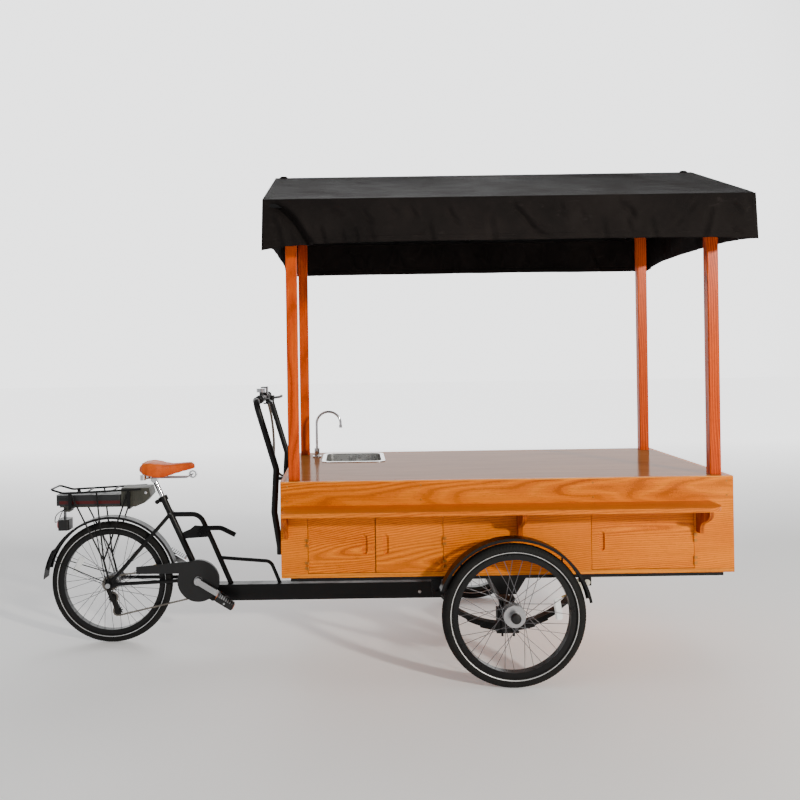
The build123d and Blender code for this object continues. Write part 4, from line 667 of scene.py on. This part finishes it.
def canopy():
    """One sheet: two roof slopes, two long valances and two gable ends, sewn along the edges."""
    drops = ([0.0, 0.003, 0.006] + [0.006 + 0.0098 * step for step in range(1, 16)]
             + [0.1565, 0.159, 0.1615, 0.172, drop])
    raised, sunk = (drops[0], drops[19]), (drops[18], drops[20])
    columns = [length_x * step / 208 for step in range(209)]
    shares = ([0.0, 0.005, 0.012] + [0.012 + (0.985 - 0.012) * step / 44 for step in range(1, 45)]
              + [0.993, 1.0])
    panels = []
    for side in (-1, 1):
        creases = near_creases if side < 0 else random_creases(11, length_x, 26)
        grid = []
        for u in columns:
            line = []
            for v in drops:
                push, rise = valance_shift(u, v, length_x, "x", side, creases, 3.0 + side)
                flare = 0.006 * (v / drop) * (math.exp(-u / 0.03) - math.exp(-(length_x - u) / 0.03))
                seam = 0.0012 if v in raised else (-0.0012 if v in sunk else 0.0)
                line.append((roof_low.x + u - flare, side * (half_y + push + seam * (0 < u < length_x)),
                             eave_z - v + rise))
            grid.append(line)
        panels.append(grid)
        grid = []
        for u in columns:
            line = []
            for share in shares:
                bay = abs(math.sin(math.pi * (u - 0.012) / (length_x / 2 - 0.012)))
                sag = 0.011 * bay * math.sin(math.pi * share) ** 0.8
                ripple = (0.0035 * noise.noise((u * 4.2, share * 3 + side, 7.7))
                          + 0.0022 * noise.noise((u * 13, share * 11, 2.1)))
                ripple += 0.004 * abs(noise.noise((u * 2.3 + share * 3.1, share * 1.7 - u * 2.0,
                                                   9.1 + side)))
                window = min(1.0, 9 * share, 9 * (1 - share)) * min(1.0, min(u, length_x - u) / 0.03)
                line.append((roof_low.x + u, side * half_y * (1 - share),
                             eave_z + slope * half_y * share - (sag + abs(ripple)) * window))
            grid.append(line)
        panels.append(grid)
    for end in (-1, 1):
        creases = random_creases(23 + end, width_y, 12)
        x = roof_low.x if end < 0 else roof_high.x
        stations = ([-half_y * (1 - share) for share in shares]
                    + [half_y * (1 - share) for share in reversed(shares[:-1])])
        grid = []
        for y in stations:
            line = []
            top = slope * (half_y - abs(y))
            for step in range(12):
                share = 1 - step / 12
                bulge = -0.006 * math.sin(math.pi * share) * min(1.0, top / 0.08)
                line.append((x + end * bulge, y, eave_z + top * share))
            for v in drops:
                push, rise = valance_shift(y + half_y, v, width_y, "y", end, creases, 8.0 + end)
                flare = 0.006 * (v / drop) * (math.exp(-(half_y + y) / 0.03)
                                              - math.exp(-(half_y - y) / 0.03))
                line.append((x + end * push, y - flare, eave_z - v + rise))
            grid.append(line)
        panels.append(grid)
    points, faces = merge(*[([p for line in grid for p in line],
                             rows_to_faces(len(grid), len(grid[0]), closed_around=False))
                             for grid in panels])
    obj = piece("canopy_cloth", points, faces, "cart", canvas, "canopy_fabric", replaced=["canopy_cover"])
    bm = bmesh.new()
    bm.from_mesh(obj.data)
    bmesh.ops.remove_doubles(bm, verts=bm.verts, dist=0.0021)
    bmesh.ops.recalc_face_normals(bm, faces=bm.faces)
    bm.to_mesh(obj.data)
    bm.free()
    thicken(obj, 0.0012)
    flat_area = 2 * length_x * (drop + math.hypot(half_y, ridge_z - eave_z))
    flat_area += 2 * (width_y * drop + half_y * (ridge_z - eave_z))


canopy()
for end, x in ((-1, roof_low.x + 0.040), (1, roof_high.x - 0.040)):
    ring = [(0.020, 0.0), (0.0195, 0.005), (0.016, 0.0095), (0.008, 0.0118), (0.002, 0.012)]
    cap_points = []
    for share, rise in ring:
        for step in range(20):
            angle = 2 * math.pi * step / 20
            cap_points.append((x + share * math.cos(angle), 0.75 * share * math.sin(angle),
                               ridge_z - 0.004 - 0.35 * 0.75 * abs(share * math.sin(angle)) + rise))
    cap_faces = rows_to_faces(5, 20) + [tuple(range(80, 100))]
    piece("ridge_pad_" + ("rear" if end < 0 else "front"), cap_points, cap_faces, "cart", canvas,
          "canopy_fabric")

# ------------------------------------------------------------------ saddle


def leather():
    look = Look("saddle_leather", roughness=0.45, Coat_Weight=0.10, Coat_Roughness=0.3,
                Specular_IOR_Level=0.1)
    pebble = look.cells(look.place(), 620.0)
    crease = look.noise(look.place((30, 14, 30)), 3.0, 6.0, 0.7, 1.2)
    cloud = look.noise(look.place(), 14.0, 4.0, 0.6)
    body = look.mix(look.span(cloud, 0.3, 0.72), (0.46, 0.052, 0.003), (0.80, 0.130, 0.008))
    # painted shade: the leather is made darker along the creases, as the shade inside them
    body = look.mix(look.span(crease, 0.56, 0.72, 0.0, 0.6), body, (0.15, 0.022, 0.004))
    body = look.mix(look.span(look.axis("Z"), 0.885, 0.906, 0.0, 0.35), body, (0.90, 0.24, 0.03))
    relief = look.maths("SUBTRACT", pebble, look.maths("MULTIPLY", crease, 2.0))
    return look.finish(body, look.span(cloud, 0.3, 0.7, 0.34, 0.52), relief, 0.0005, 0.7)


def saddle():
    low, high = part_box("saddle_top")
    length = high.x - low.x
    stations = 44
    keys = [  # share from the rear, half-width, top height over the skirt's lowest, skirt bottom over it
        (0.00, 0.030, 0.043, 0.030), (0.03, 0.046, 0.060, 0.026), (0.10, 0.068, 0.075, 0.018),
        (0.22, 0.081, 0.078, 0.010),
        (0.34, 0.078, 0.073, 0.002), (0.46, 0.062, 0.066, 0.000), (0.58, 0.045, 0.063, 0.008),
        (0.70, 0.034, 0.064, 0.018),
        (0.82, 0.028, 0.067, 0.026), (0.92, 0.024, 0.068, 0.032), (0.98, 0.017, 0.062, 0.036),
        (1.00, 0.010, 0.052, 0.038),
    ]

    def at(share):
        for a, b in zip(keys, keys[1:]):
            if share <= b[0]:
                t = (share - a[0]) / (b[0] - a[0])
                t = t * t * (3 - 2 * t)
                return [x + (y - x) * t for x, y in zip(a[1:], b[1:])]
        return list(keys[-1][1:])

    points = []
    around = 29
    for step in range(stations + 1):
        share = step / stations
        half, top, skirt = at(share)
        x = low.x + 0.002 + (length - 0.004) * share
        for k in range(around):
            t = 2 * k / (around - 1) - 1
            side = 1 if t > 0 else -1
            a = abs(t)
            if a < 0.62:
                spread = a / 0.62
                y = half * 0.93 * spread
                z = top - 0.006 * spread ** 2.4 - 0.0022 * math.exp(-(spread / 0.16) ** 2) * (share < 0.7)
            else:
                spread = (a - 0.62) / 0.38
                y = (half * (0.93 + 0.07 * math.sin(min(1.0, spread * 2.2) * math.pi / 2))
                     - 0.004 * max(0, spread - 0.5))
                z = top - 0.006 - (top - 0.006 - skirt) * spread ** 1.25
            wrinkle = 0.0008 * noise.noise((x * 55, y * 40 * side, z * 60))
            points.append((x, side * y, low.z + z + wrinkle))
    faces = rows_to_faces(stations + 1, around, closed_around=False)
    obj = piece("saddle_leather", points, faces, "saddle", leather(), "leather", replaced=["saddle_top"])
    bm = bmesh.new()
    bm.from_mesh(obj.data)
    rear = [v for v in bm.verts if abs(v.co.x - (low.x + 0.002)) < 1e-4]
    nose = [v for v in bm.verts if abs(v.co.x - (high.x - 0.002)) < 1e-4]
    for rim_points in (rear, nose):
        bm.faces.new(sorted(rim_points, key=lambda v: v.index))
    bmesh.ops.recalc_face_normals(bm, faces=bm.faces)
    if sum(f.normal.z * f.calc_area() for f in bm.faces) < 0:
        bmesh.ops.reverse_faces(bm, faces=bm.faces)
    bm.to_mesh(obj.data)
    bm.free()
    thicken(obj, 0.0045)
    soft = obj.modifiers.new("rounded", "SUBSURF")
    soft.levels = soft.render_levels = 1
    heads = []
    for share, y in ((0.93, 0.010), (0.93, -0.010), (0.05, 0.0), (0.07, 0.026), (0.07, -0.026),
                     (0.13, 0.048), (0.13, -0.048)):
        half, top = at(share)[:2]
        heads.append(screw_head((low.x + length * share, y,
                                 low.z + top - 0.0062 * (abs(y) / (0.93 * half)) ** 2.4 - 0.0006),
                                (0.12 if share > 0.5 else -0.3, 0.25 * (y > 0) - 0.25 * (y < 0), 1), 0.0042,
                                0.0016))
    outward(sharpen(piece("saddle_rivets", *merge(*heads), "saddle", brass, "hinge_brass")))


saddle()

# ------------------------------------------------------------------ tyres


def reflective():
    look = Look("tyre_reflective_band", metallic=0.6, roughness=0.35)
    beads = look.cells(look.place(), 900.0)
    dust = look.noise(look.place(), 40.0, 5.0, 0.6)
    body = look.mix(look.span(dust, 0.4, 0.75, 0.0, 0.7), (0.62, 0.63, 0.64), (0.28, 0.27, 0.26))
    return look.finish(body, look.span(dust, 0.3, 0.7, 0.28, 0.5), beads, 0.0002, 0.4)


band_look = reflective()


def tyre(name, node, body):
    """A tyre with block tread, a bead, moulded ribs and a reflective band on both walls."""
    low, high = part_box(node)
    centre = (low + high) / 2
    outer = (high.z - low.z) / 2
    section = (high.y - low.y) / 2
    middle = outer - section
    angles = [-150, -142, -134, -126, -124, -116, -108, -98, -86, -74, -62, -56, -50, -44, -38, -32, -24,
              -18, -12, -6]
    angles = angles + [0] + [-a for a in reversed(angles)]
    around = len(angles)
    blocks = 132
    count = blocks * 6

    def profile_point(index, extra):
        a = math.radians(angles[index])
        r = section - 0.0016 + extra
        return middle + r * math.cos(a), r * math.sin(a)

    points = []
    for k in range(count):
        theta = 2 * math.pi * k / count
        phase = k % 6
        for index, a in enumerate(angles):
            size = abs(a)
            extra = 0.0
            if size <= 12:
                extra = 0.0016 if phase not in ((0,) if a < 0 else (3,)) else 0.0002
            elif size == 18:
                extra = -0.0008
            elif 24 <= size <= 38:
                gap = (phase + (1 if size > 30 else 0)) % 6 in (1, 2)
                extra = 0.0002 if gap else 0.0014
            elif size == 44:
                extra = -0.0006
            elif 50 <= size <= 62:
                gap = (phase + 3) % 6 in (0, 1)
                extra = -0.0006 if gap else 0.0010
            elif size in (124, 126):
                extra = 0.0006
            r, y = profile_point(index, extra)
            points.append((centre.x + r * math.cos(theta), centre.y + y, centre.z + r * math.sin(theta)))
    faces = rows_to_faces(count, around, closed_rows=True, closed_around=False)
    indices = []
    for face_index in range(len(faces)):
        step = face_index % (around - 1)
        size = (abs(angles[step]) + abs(angles[step + 1])) / 2
        indices.append(1 if 108 <= size <= 116 else 0)
    obj = piece(name, points, faces, body, tyre_rubber, "tyre", looks=(band_look,), indices=indices,
                replaced=[node])
    bm = bmesh.new()
    bm.from_mesh(obj.data)
    bmesh.ops.recalc_face_normals(bm, faces=bm.faces)
    bm.faces.ensure_lookup_table()
    crown = max(bm.faces, key=lambda f: (f.calc_center_median() - centre).length)
    if crown.normal.dot(crown.calc_center_median() - centre) < 0:
        bmesh.ops.reverse_faces(bm, faces=bm.faces)
    bm.to_mesh(obj.data)
    bm.free()
    thicken(obj, 0.003)
    return obj


for side in ("right", "left"):
    tyre("tyre_tread_front_" + side, "front_tyre_" + side, "front_wheel_" + side)
tyre("tyre_tread_rear", "rear_tyre", "rear_wheel")

# rims and hubs: the spokes are bare steel, and the flange of each front hub is bright
for node, flange in (("front_rim_right", 0.047), ("front_rim_left", 0.047), ("rear_rim", 0.037),
                     ("front_hub_right", 0.047), ("front_hub_left", 0.047), ("rear_hub", 0.037)):
    wheel = node.replace("rim", "tyre").replace("hub", "tyre")
    hub_centre = centre_of(wheel)
    tyre_low, tyre_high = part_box(wheel)
    rim_inner = (tyre_high.z - tyre_low.z) / 2 - (0.046 if "front" in wheel else 0.042) - 0.030

    def is_spoke(centre, normal, middle=hub_centre, flange=flange, inner=rim_inner):
        away = math.hypot(centre.x - middle.x, centre.z - middle.z)
        return flange + 0.0008 < away < inner

    repaint(node, spoke_steel, is_spoke)

# ------------------------------------------------------------------ small parts


def ring_solid(name, centre, profile, count, body, look, slot=None, replaced=()):
    """A solid turned about an axis along Y, from a closed profile of (radius, y)."""
    points = []
    for step in range(count):
        angle = 2 * math.pi * step / count
        for radius, y in profile:
            points.append((centre[0] + radius * math.cos(angle), centre[1] + y,
                           centre[2] + radius * math.sin(angle)))
    faces = rows_to_faces(count, len(profile), closed_rows=True)
    return outward(sharpen(piece(name, points, faces, body, look, slot, replaced=replaced), 40))


def cap_along_y(name, centre, profile, count, body, look, slot=None):
    """A turned cap; the profile of (radius, y) runs from its open edge to its middle."""
    points = []
    for radius, y in profile:
        for step in range(count):
            angle = 2 * math.pi * step / count
            points.append((centre[0] + radius * math.cos(angle), centre[1] + y,
                           centre[2] + radius * math.sin(angle)))
    faces = rows_to_faces(len(profile), count)
    faces.append(tuple(range(count)))
    faces.append(tuple((len(profile) - 1) * count + step for step in range(count)))
    return outward(sharpen(piece(name, points, faces, body, look, slot), 40))


def slab(low, high, bevel=0.0005):
    """A box with all its edges chamfered, as points and faces."""
    bm = bmesh.new()
    bmesh.ops.create_cube(bm, size=1.0)
    for vert in bm.verts:
        vert.co = Vector([(a + b) / 2 + (b - a) * c for a, b, c in zip(low, high, vert.co)])
    bmesh.ops.bevel(bm, geom=bm.edges[:], offset=bevel, segments=2, affect="EDGES")
    bm.verts.ensure_lookup_table()
    points = [tuple(v.co) for v in bm.verts]
    faces = [tuple(v.index for v in f.verts) for f in bm.faces]
    bm.free()
    return points, faces


def turned_about(points, centre, degrees_):
    """The same points turned about the Y axis through a centre."""
    turn = Matrix.Rotation(math.radians(degrees_), 3, "Y")
    return [tuple(turn @ (Vector(p) - Vector(centre)) + Vector(centre)) for p in points]


def bent_path(points, share=0.45, steps=8):
    """A line of straight runs joined by smooth bends at its corners."""
    points = [Vector(p) for p in points]
    result = [points[0]]
    for before, corner, after in zip(points, points[1:], points[2:]):
        reach = share * min((corner - before).length, (after - corner).length)
        start = corner + (before - corner).normalized() * reach
        end = corner + (after - corner).normalized() * reach
        for step in range(steps + 1):
            t = step / steps
            result.append(start * (1 - t) ** 2 + corner * (2 * t * (1 - t)) + end * t * t)
    result.append(points[-1])
    return result


def resampled(path, spacing):
    """The same line with points at an even spacing."""
    result, carried = [path[0]], 0.0
    for a, b in zip(path, path[1:]):
        run = (b - a).length
        travelled = spacing - carried
        while travelled < run:
            result.append(a.lerp(b, travelled / run))
            travelled += spacing
        carried = run - (travelled - spacing)
    result.append(path[-1])
    return result


dark_red = plastic("battery_stripe", (0.060, 0.0012, 0.0010), 0.4)
lens_red = plastic("lens_red", (0.42, 0.004, 0.003), 0.16, 260.0, 0.15)
lens_amber = plastic("lens_amber", (0.75, 0.16, 0.004), 0.2, 380.0, 0.15)
lens_white = plastic("lens_white", (0.80, 0.82, 0.82), 0.16, 320.0, 0.2)
screen_glass = plastic("screen_glass", (0.012, 0.020, 0.026), 0.08, 60.0, 0.3)
wrap_plastic = plastic("cable_wrap", (0.060, 0.040, 0.028), 0.5, 300.0, 0.9)
pale_edge = wood("pale_edge", "X", amber_mid, (0.80, 0.30, 0.03), (0.90, 0.42, 0.08), (6.1, 0.3, 0.2), 30.0)

# handlebar: ribbed grips, screen, buttons and a bright bell
bar_low, bar_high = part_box("handlebar_grips")
bar_centre_x = (bar_low.x + bar_high.x) / 2
bar_centre_z = (bar_low.z + bar_high.z) / 2
grip_radius = (bar_high.x - bar_low.x) / 2
grip_near = min(v.co.y for v in nodes["handlebar_grips"].data.vertices if v.co.y > 0)
for side, sign in (("right", -1), ("left", 1)):
    length = bar_high.y - grip_near
    profile = [(0.0155, 0.0), (grip_radius - 0.001, 0.0), (grip_radius + 0.0015, 0.0015),
               (grip_radius + 0.0015, 0.004)]
    ribs = int((length - 0.010) / 0.005)
    for rib in range(ribs):
        y = 0.005 + rib * (length - 0.010) / ribs
        profile += [(grip_radius - 0.0012, y), (grip_radius, y + 0.0012), (grip_radius, y + 0.0032)]
    profile += [(grip_radius + 0.001, length - 0.004), (grip_radius - 0.001, length), (0.0155, length)]
    profile = [(r, sign * (grip_near + y)) for r, y in profile]
    ring_solid("grip_ribbed_" + side, (bar_centre_x, 0, bar_centre_z), profile, 36, "cart", grip_rubber,
               "grip_rubber", ["handlebar_grips"])
screen_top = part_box("handlebar_controls")[1].z
screen = slab((bar_centre_x - 0.012, 0.046, screen_top - 0.0004),
              (bar_centre_x + 0.009, 0.100, screen_top + 0.0012), 0.0006)
piece("display_screen", *screen, "cart", screen_glass, "control_black", smooth=False)
buttons = [slab((bar_centre_x + 0.0105, y, screen_top - 0.0004),
                (bar_centre_x + 0.0145, y + 0.010, screen_top + 0.0014), 0.0005)
           for y in (0.050, 0.068, 0.086)]
piece("display_buttons", *merge(*buttons), "cart", grip_rubber, "grip_rubber", smooth=False)
repaint("handlebar_controls", chrome,
        lambda centre, normal: -0.10 < centre.y < -0.04 and centre.z > bar_centre_z + 0.030)

# the wrapped cable, along the same route as the CAD loom, with its gland nut
gland_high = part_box("control_cable")[1]
loom_y = 0.092
loom_low_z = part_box("control_cable")[0].z + 0.012
loom_points = [(bar_centre_x + 0.016, 0.104, 1.180), (bar_centre_x + 0.030, 0.106, 1.120),
               (bar_centre_x + 0.039, 0.104, 1.050),
               (bar_centre_x + 0.043, 0.100, 0.975), (bar_centre_x + 0.042, 0.096, 0.905),
               (bar_centre_x + 0.050, 0.094, 0.850),
               (gland_high.x - 0.052, loom_y, loom_low_z), (gland_high.x, loom_y, loom_low_z)]


def wrap_radius(along, angle):
    turn = (along / 0.0135 + angle / (2 * math.pi)) % 1.0
    gap = min(turn, 1 - turn)
    return 0.0051 + 0.0011 * min(1.0, gap / 0.10) ** 0.5


tube("cable_loom", resampled(bent_path(loom_points), 0.0013), 0.006, "cart", wrap_plastic, "cable_wrap", 22,
     wrap_radius, ["control_cable"])
tube("cable_gland_nut", [(gland_high.x - 0.012 + 0.002 * k, loom_y, loom_low_z) for k in range(7)], 0.012,
     "cart", control_black, "control_black", 24,
     lambda along, angle: 0.0113 + 0.0006 * math.cos(6 * angle), ["control_cable"])

# battery: a stripe along each side, a grooved handle end, ribs on the dock's cap and a lock
pack_low, pack_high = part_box("battery_pack")
stripes, grooves = [], []
for sign in (-1, 1):
    y = sign * pack_high.y
    stripes.append(slab((pack_low.x + 0.018, min(y, y + sign * 0.0012), pack_low.z + 0.008),
                        (pack_high.x - 0.004, max(y, y + sign * 0.0012), pack_low.z + 0.024), 0.0004))
    for k in range(9):
        x = pack_low.x + 0.016 + 0.005 * k
        grooves.append(slab((x, min(y, y + sign * 0.0014), pack_low.z + 0.029),
                            (x + 0.0024, max(y, y + sign * 0.0014), pack_high.z - 0.012), 0.0004))
piece("battery_stripes", *merge(*stripes), "battery", dark_red, "battery_grey", smooth=False)
piece("battery_grip_ribs", *merge(*grooves), "battery", control_black, "control_black", smooth=False)
dock_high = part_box("battery_dock")[1]
dock_ribs = []
for sign in (-1, 1):
    y = sign * dock_high.y
    for k in range(11):
        x = dock_high.x - 0.140 + 0.0098 * k
        dock_ribs.append(slab((x, min(y, y + sign * 0.0018), dock_high.z - 0.064),
                              (x + 0.0042, max(y, y + sign * 0.0018), dock_high.z - 0.008), 0.0007))
piece("battery_dock_ribs", *merge(*dock_ribs), "rear_end", dock_olive, "battery_grey", smooth=False)
lock = screw_head((dock_high.x - 0.024, -dock_high.y, dock_high.z - 0.024), (0, -1, 0), 0.008, 0.004)
piece("battery_lock", *lock, "rear_end", chrome, "chrome")

# tail light: a faceted lens and a wire guard hoop
lamp_low, lamp_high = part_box("tail_light")
lamp_z = lamp_low.z + 0.027
lens_points = []
for share, rise in ((1.0, 0.0), (1.0, 0.003), (0.93, 0.0055), (0.6, 0.0078), (0.25, 0.0086),
                    (0.02, 0.0088)):
    for step in range(40):
        angle = 2 * math.pi * step / 40
        squash = (abs(math.cos(angle)) ** 4 + abs(math.sin(angle)) ** 4) ** -0.25
        lens_points.append((lamp_low.x - rise + 0.0005, 0.030 * share * squash * math.cos(angle),
                            lamp_z + 0.019 * share * squash * math.sin(angle)))
lens_faces = rows_to_faces(6, 40) + [tuple(range(40)), tuple(200 + step for step in range(40))]
outward(sharpen(piece("tail_light_lens", lens_points, lens_faces, "rear_end", lens_red, "lamp"), 50))
hoop = [(lamp_high.x - 0.012, -0.034, lamp_high.z - 0.006),
        (lamp_low.x - 0.004, -0.044, lamp_high.z - 0.030),
        (lamp_low.x - 0.017, -0.030, lamp_z + 0.010), (lamp_low.x - 0.017, 0.030, lamp_z + 0.010),
        (lamp_low.x - 0.004, 0.044, lamp_high.z - 0.030), (lamp_high.x - 0.012, 0.034, lamp_high.z - 0.006)]
tube("tail_light_guard", bent_path(hoop), 0.0022, "rear_end", frame_black, "frame_black", 10)

# pedals: treads across both faces and amber reflectors at both ends
crank_centre = centre_of("chainring")
for side, sign in (("right", -1), ("left", 1)):
    middle = centre_of("pedal_" + side)
    span_low, span_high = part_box("pedal_" + side)
    lean = math.degrees(math.atan2(middle.z - crank_centre.z, middle.x - crank_centre.x))
    treads, reflectors = [], []
    for face in (-1, 1):
        for k in range(7):
            x = middle.x + (k - 3) * 0.0115
            z = middle.z + face * 0.012
            treads.append(slab((x - 0.002, span_low.y + 0.004, min(z, z + face * 0.0022)),
                               (x + 0.002, span_high.y - 0.004, max(z, z + face * 0.0022)), 0.0006))
        x = middle.x + face * 0.047
        reflectors.append(slab((min(x, x + face * 0.0022), middle.y - 0.021, middle.z - 0.008),
                               (max(x, x + face * 0.0022), middle.y + 0.021, middle.z + 0.008), 0.0008))
    for label, meshes, look in (("pedal_treads_", treads, alloy),
                                ("pedal_reflectors_", reflectors, lens_amber)):
        points, faces = merge(*meshes)
        piece(label + side, turned_about(points, middle, -lean), faces, side + "_pedal", look, smooth=False)

# wheels: dust caps, a valve on each rim and a reflector among the spokes
for node, body, sign in (("front_hub_right", "front_wheel_right", -1),
                         ("front_hub_left", "front_wheel_left", 1)):
    middle = centre_of(node)
    hub_low, hub_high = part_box(node)
    outer_y = hub_low.y if sign < 0 else hub_high.y
    profile = [(0.0215, -sign * 0.002), (0.0215, sign * 0.012), (0.0195, sign * 0.0165),
               (0.011, sign * 0.0190), (0.002, sign * 0.0196)]
    cap_along_y(node.replace("hub", "dust_cap"), (middle.x, outer_y, middle.z), profile, 40, body,
                control_black, "control_black")
reflector_radius = 0.190
for wheel, body, reach, angle in (("front_tyre_right", "front_wheel_right", 0.046, 7),
                                  ("front_tyre_left", "front_wheel_left", 0.046, 120),
                                  ("rear_tyre", "rear_wheel", 0.042, 154)):
    low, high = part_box(wheel)
    middle = (low + high) / 2
    rim_inner = (high.z - low.z) / 2 - reach - 0.012
    valve = [(middle.x + r * math.cos(0.35), middle.y, middle.z + r * math.sin(0.35))
             for r in (rim_inner, rim_inner - 0.020, rim_inner - 0.032)]
    tube(wheel.replace("tyre", "valve"), valve, 0.003, body, brass, "steel", 12,
         lambda along, angle: 0.0030 if along < 0.012 else 0.0040)
    turn = math.radians(angle)
    plate_middle = Vector((middle.x + reflector_radius * math.cos(turn), middle.y,
                           middle.z + reflector_radius * math.sin(turn)))
    points, faces = slab((plate_middle.x - 0.015, middle.y - 0.006, plate_middle.z - 0.046),
                         (plate_middle.x + 0.015, middle.y + 0.006, plate_middle.z + 0.046), 0.005)
    piece(wheel.replace("tyre", "spoke_reflector"), turned_about(points, plate_middle, -angle), faces, body,
          lens_white, "lamp", smooth=False)

# chain: outer and inner plates in turn, with rollers, along the line round all four toothed wheels
chain_pitch = 0.0127


def chain_line_points():
    """The pitch line as short steps, from the wheels' centres and tooth counts."""
    rounds = []
    for node, teeth, turn in (("rear_sprocket", 18, 1), ("chainring", 38, 1), ("jockey_lower", 11, 1),
                              ("jockey_upper", 11, -1)):
        middle = centre_of("rear_axle" if node == "rear_sprocket" else node)
        rounds.append((middle.x, middle.z, chain_pitch / (2 * math.sin(math.pi / teeth)), turn))
    leaving, arriving = [], []
    for index, (x0, z0, r0, turn0) in enumerate(rounds):
        x1, z1, r1, turn1 = rounds[(index + 1) % len(rounds)]
        gap = math.hypot(x1 - x0, z1 - z0)
        normal = math.atan2(z1 - z0, x1 - x0) + math.acos((turn0 * r0 - turn1 * r1) / gap)
        leaving.append(normal + (0 if turn0 > 0 else math.pi))
        arriving.append(normal + (0 if turn1 > 0 else math.pi))
    chain_y = centre_of("chain").y
    path = []
    for index, (x, z, r, turn) in enumerate(rounds):
        start = arriving[index - 1]
        swing = (leaving[index] - start) % (2 * math.pi) - (2 * math.pi if turn > 0 else 0)
        steps = max(3, int(abs(swing) / 0.08))
        path += [Vector((x + r * math.cos(start + swing * k / steps), chain_y,
                         z + r * math.sin(start + swing * k / steps)))
                 for k in range(steps + 1)]
    return path + [path[0]]


def chain_link(a, b, wide, height):
    """Two waisted side plates between two pins, with a roller on the first pin."""
    along = (b - a).normalized()
    up = Vector((-along.z, 0, along.x))
    length = (b - a).length
    outline = [(-0.0040, 0.0), (-0.0029, 0.0028), (0.0, height), (length / 2, height * 0.72),
               (length, height),
               (length + 0.0029, 0.0028), (length + 0.0040, 0.0)]
    outline += [(x, -h) for x, h in reversed(outline[1:-1])]
    meshes = []
    for side in (-1, 1):
        points = [a + along * x + up * h + Vector((0, side * (wide + depth), 0)) for depth in (0, 0.0011)
                  for x, h in outline]
        count = len(outline)
        meshes.append((points,
                       rows_to_faces(2, count)
                       + [tuple(range(count - 1, -1, -1)), tuple(range(count, 2 * count))]))
    ring = [(0.0036 * math.cos(k * math.pi / 5), 0.0036 * math.sin(k * math.pi / 5)) for k in range(10)]
    points = [a + Vector((x, y, z)) for y in (-0.0028, 0.0028) for x, z in ring]
    meshes.append((points, rows_to_faces(2, 10) + [tuple(range(9, -1, -1)), tuple(range(10, 20))]))
    return merge(*meshes)


chain_path = chain_line_points()
chain_length = sum((b - a).length for a, b in zip(chain_path, chain_path[1:]))
pin_count = 2 * round(chain_length / chain_pitch / 2)
pins = resampled(chain_path, chain_length / pin_count)[:pin_count]
links = [chain_link(pins[k], pins[(k + 1) % pin_count], 0.0030 if k % 2 else 0.0019, 0.0041)
         for k in range(pin_count)]
outward(piece("chain_links", *merge(*links), "rear_end", chain_steel, "chain_steel", smooth=False,
              replaced=["chain"]))

# fixings: screws through the apron and bolts through the beam
box_screws, bolts = [], []
apron_low, apron_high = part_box("apron_boards")
for x in (apron_low.x + 0.030, apron_low.x + 0.62, apron_high.x - 0.62, apron_high.x - 0.030):
    for z in (apron_low.z + 0.022, apron_high.z - 0.022):
        box_screws.append(screw_head((x, apron_low.y, z), (0, -1, 0), 0.0042))
        box_screws.append(screw_head((x, apron_high.y, z), (0, 1, 0), 0.0042))
piece("apron_screws", *merge(*box_screws), "cart", hinge_bronze, "hinge_brass")
beam_points = [v.co for v in nodes["rear_frame"].data.vertices if v.co.x > -0.65 and v.co.z < 0.40]
beam_near = min(p.y for p in beam_points)
for x, z in ((0.238, 0.238), (0.347, 0.247)):
    bolts.append(screw_head((x, beam_near, z), (0, -1, 0), 0.008))
piece("beam_bolts", *merge(*bolts), "rear_end", steel, "steel")

# edge strip: a pale band along the top of the apron
strip = slab((apron_low.x + 0.001, apron_low.y - 0.0012, apron_high.z - 0.005),
             (apron_high.x - 0.001, apron_low.y + 0.001, apron_high.z - 0.0002), 0.0005)
piece("apron_top_strip", *strip, "cart", pale_edge, "box_wood", smooth=False)

# ------------------------------------------------------------------ floor

floor_mesh = bpy.data.meshes.new("floor")
floor_mesh.from_pydata([(-30, -30, 0), (30, -30, 0), (30, 30, 0), (-30, 30, 0)], [], [(0, 1, 2, 3)])
floor = bpy.data.objects.new("floor", floor_mesh)
bpy.context.scene.collection.objects.link(floor)
floor_look = Look("floor_pale", roughness=0.75)
floor_noise = floor_look.noise(floor_look.place(), 1.2, 3.0, 0.5)
floor_look.shader.inputs["Emission Color"].default_value = (0.97, 0.975, 0.98, 1)
floor_look.link(floor_look.span(floor_look.axis("Y"), 1.8, 8.0, 0.12, 2.0),
                floor_look.shader.inputs["Emission Strength"])
floor_mesh.materials.append(floor_look.finish(floor_look.mix(floor_look.span(floor_noise, 0.3, 0.7),
                                                             (0.88, 0.88, 0.88),
                                                             (0.92, 0.92, 0.92))))
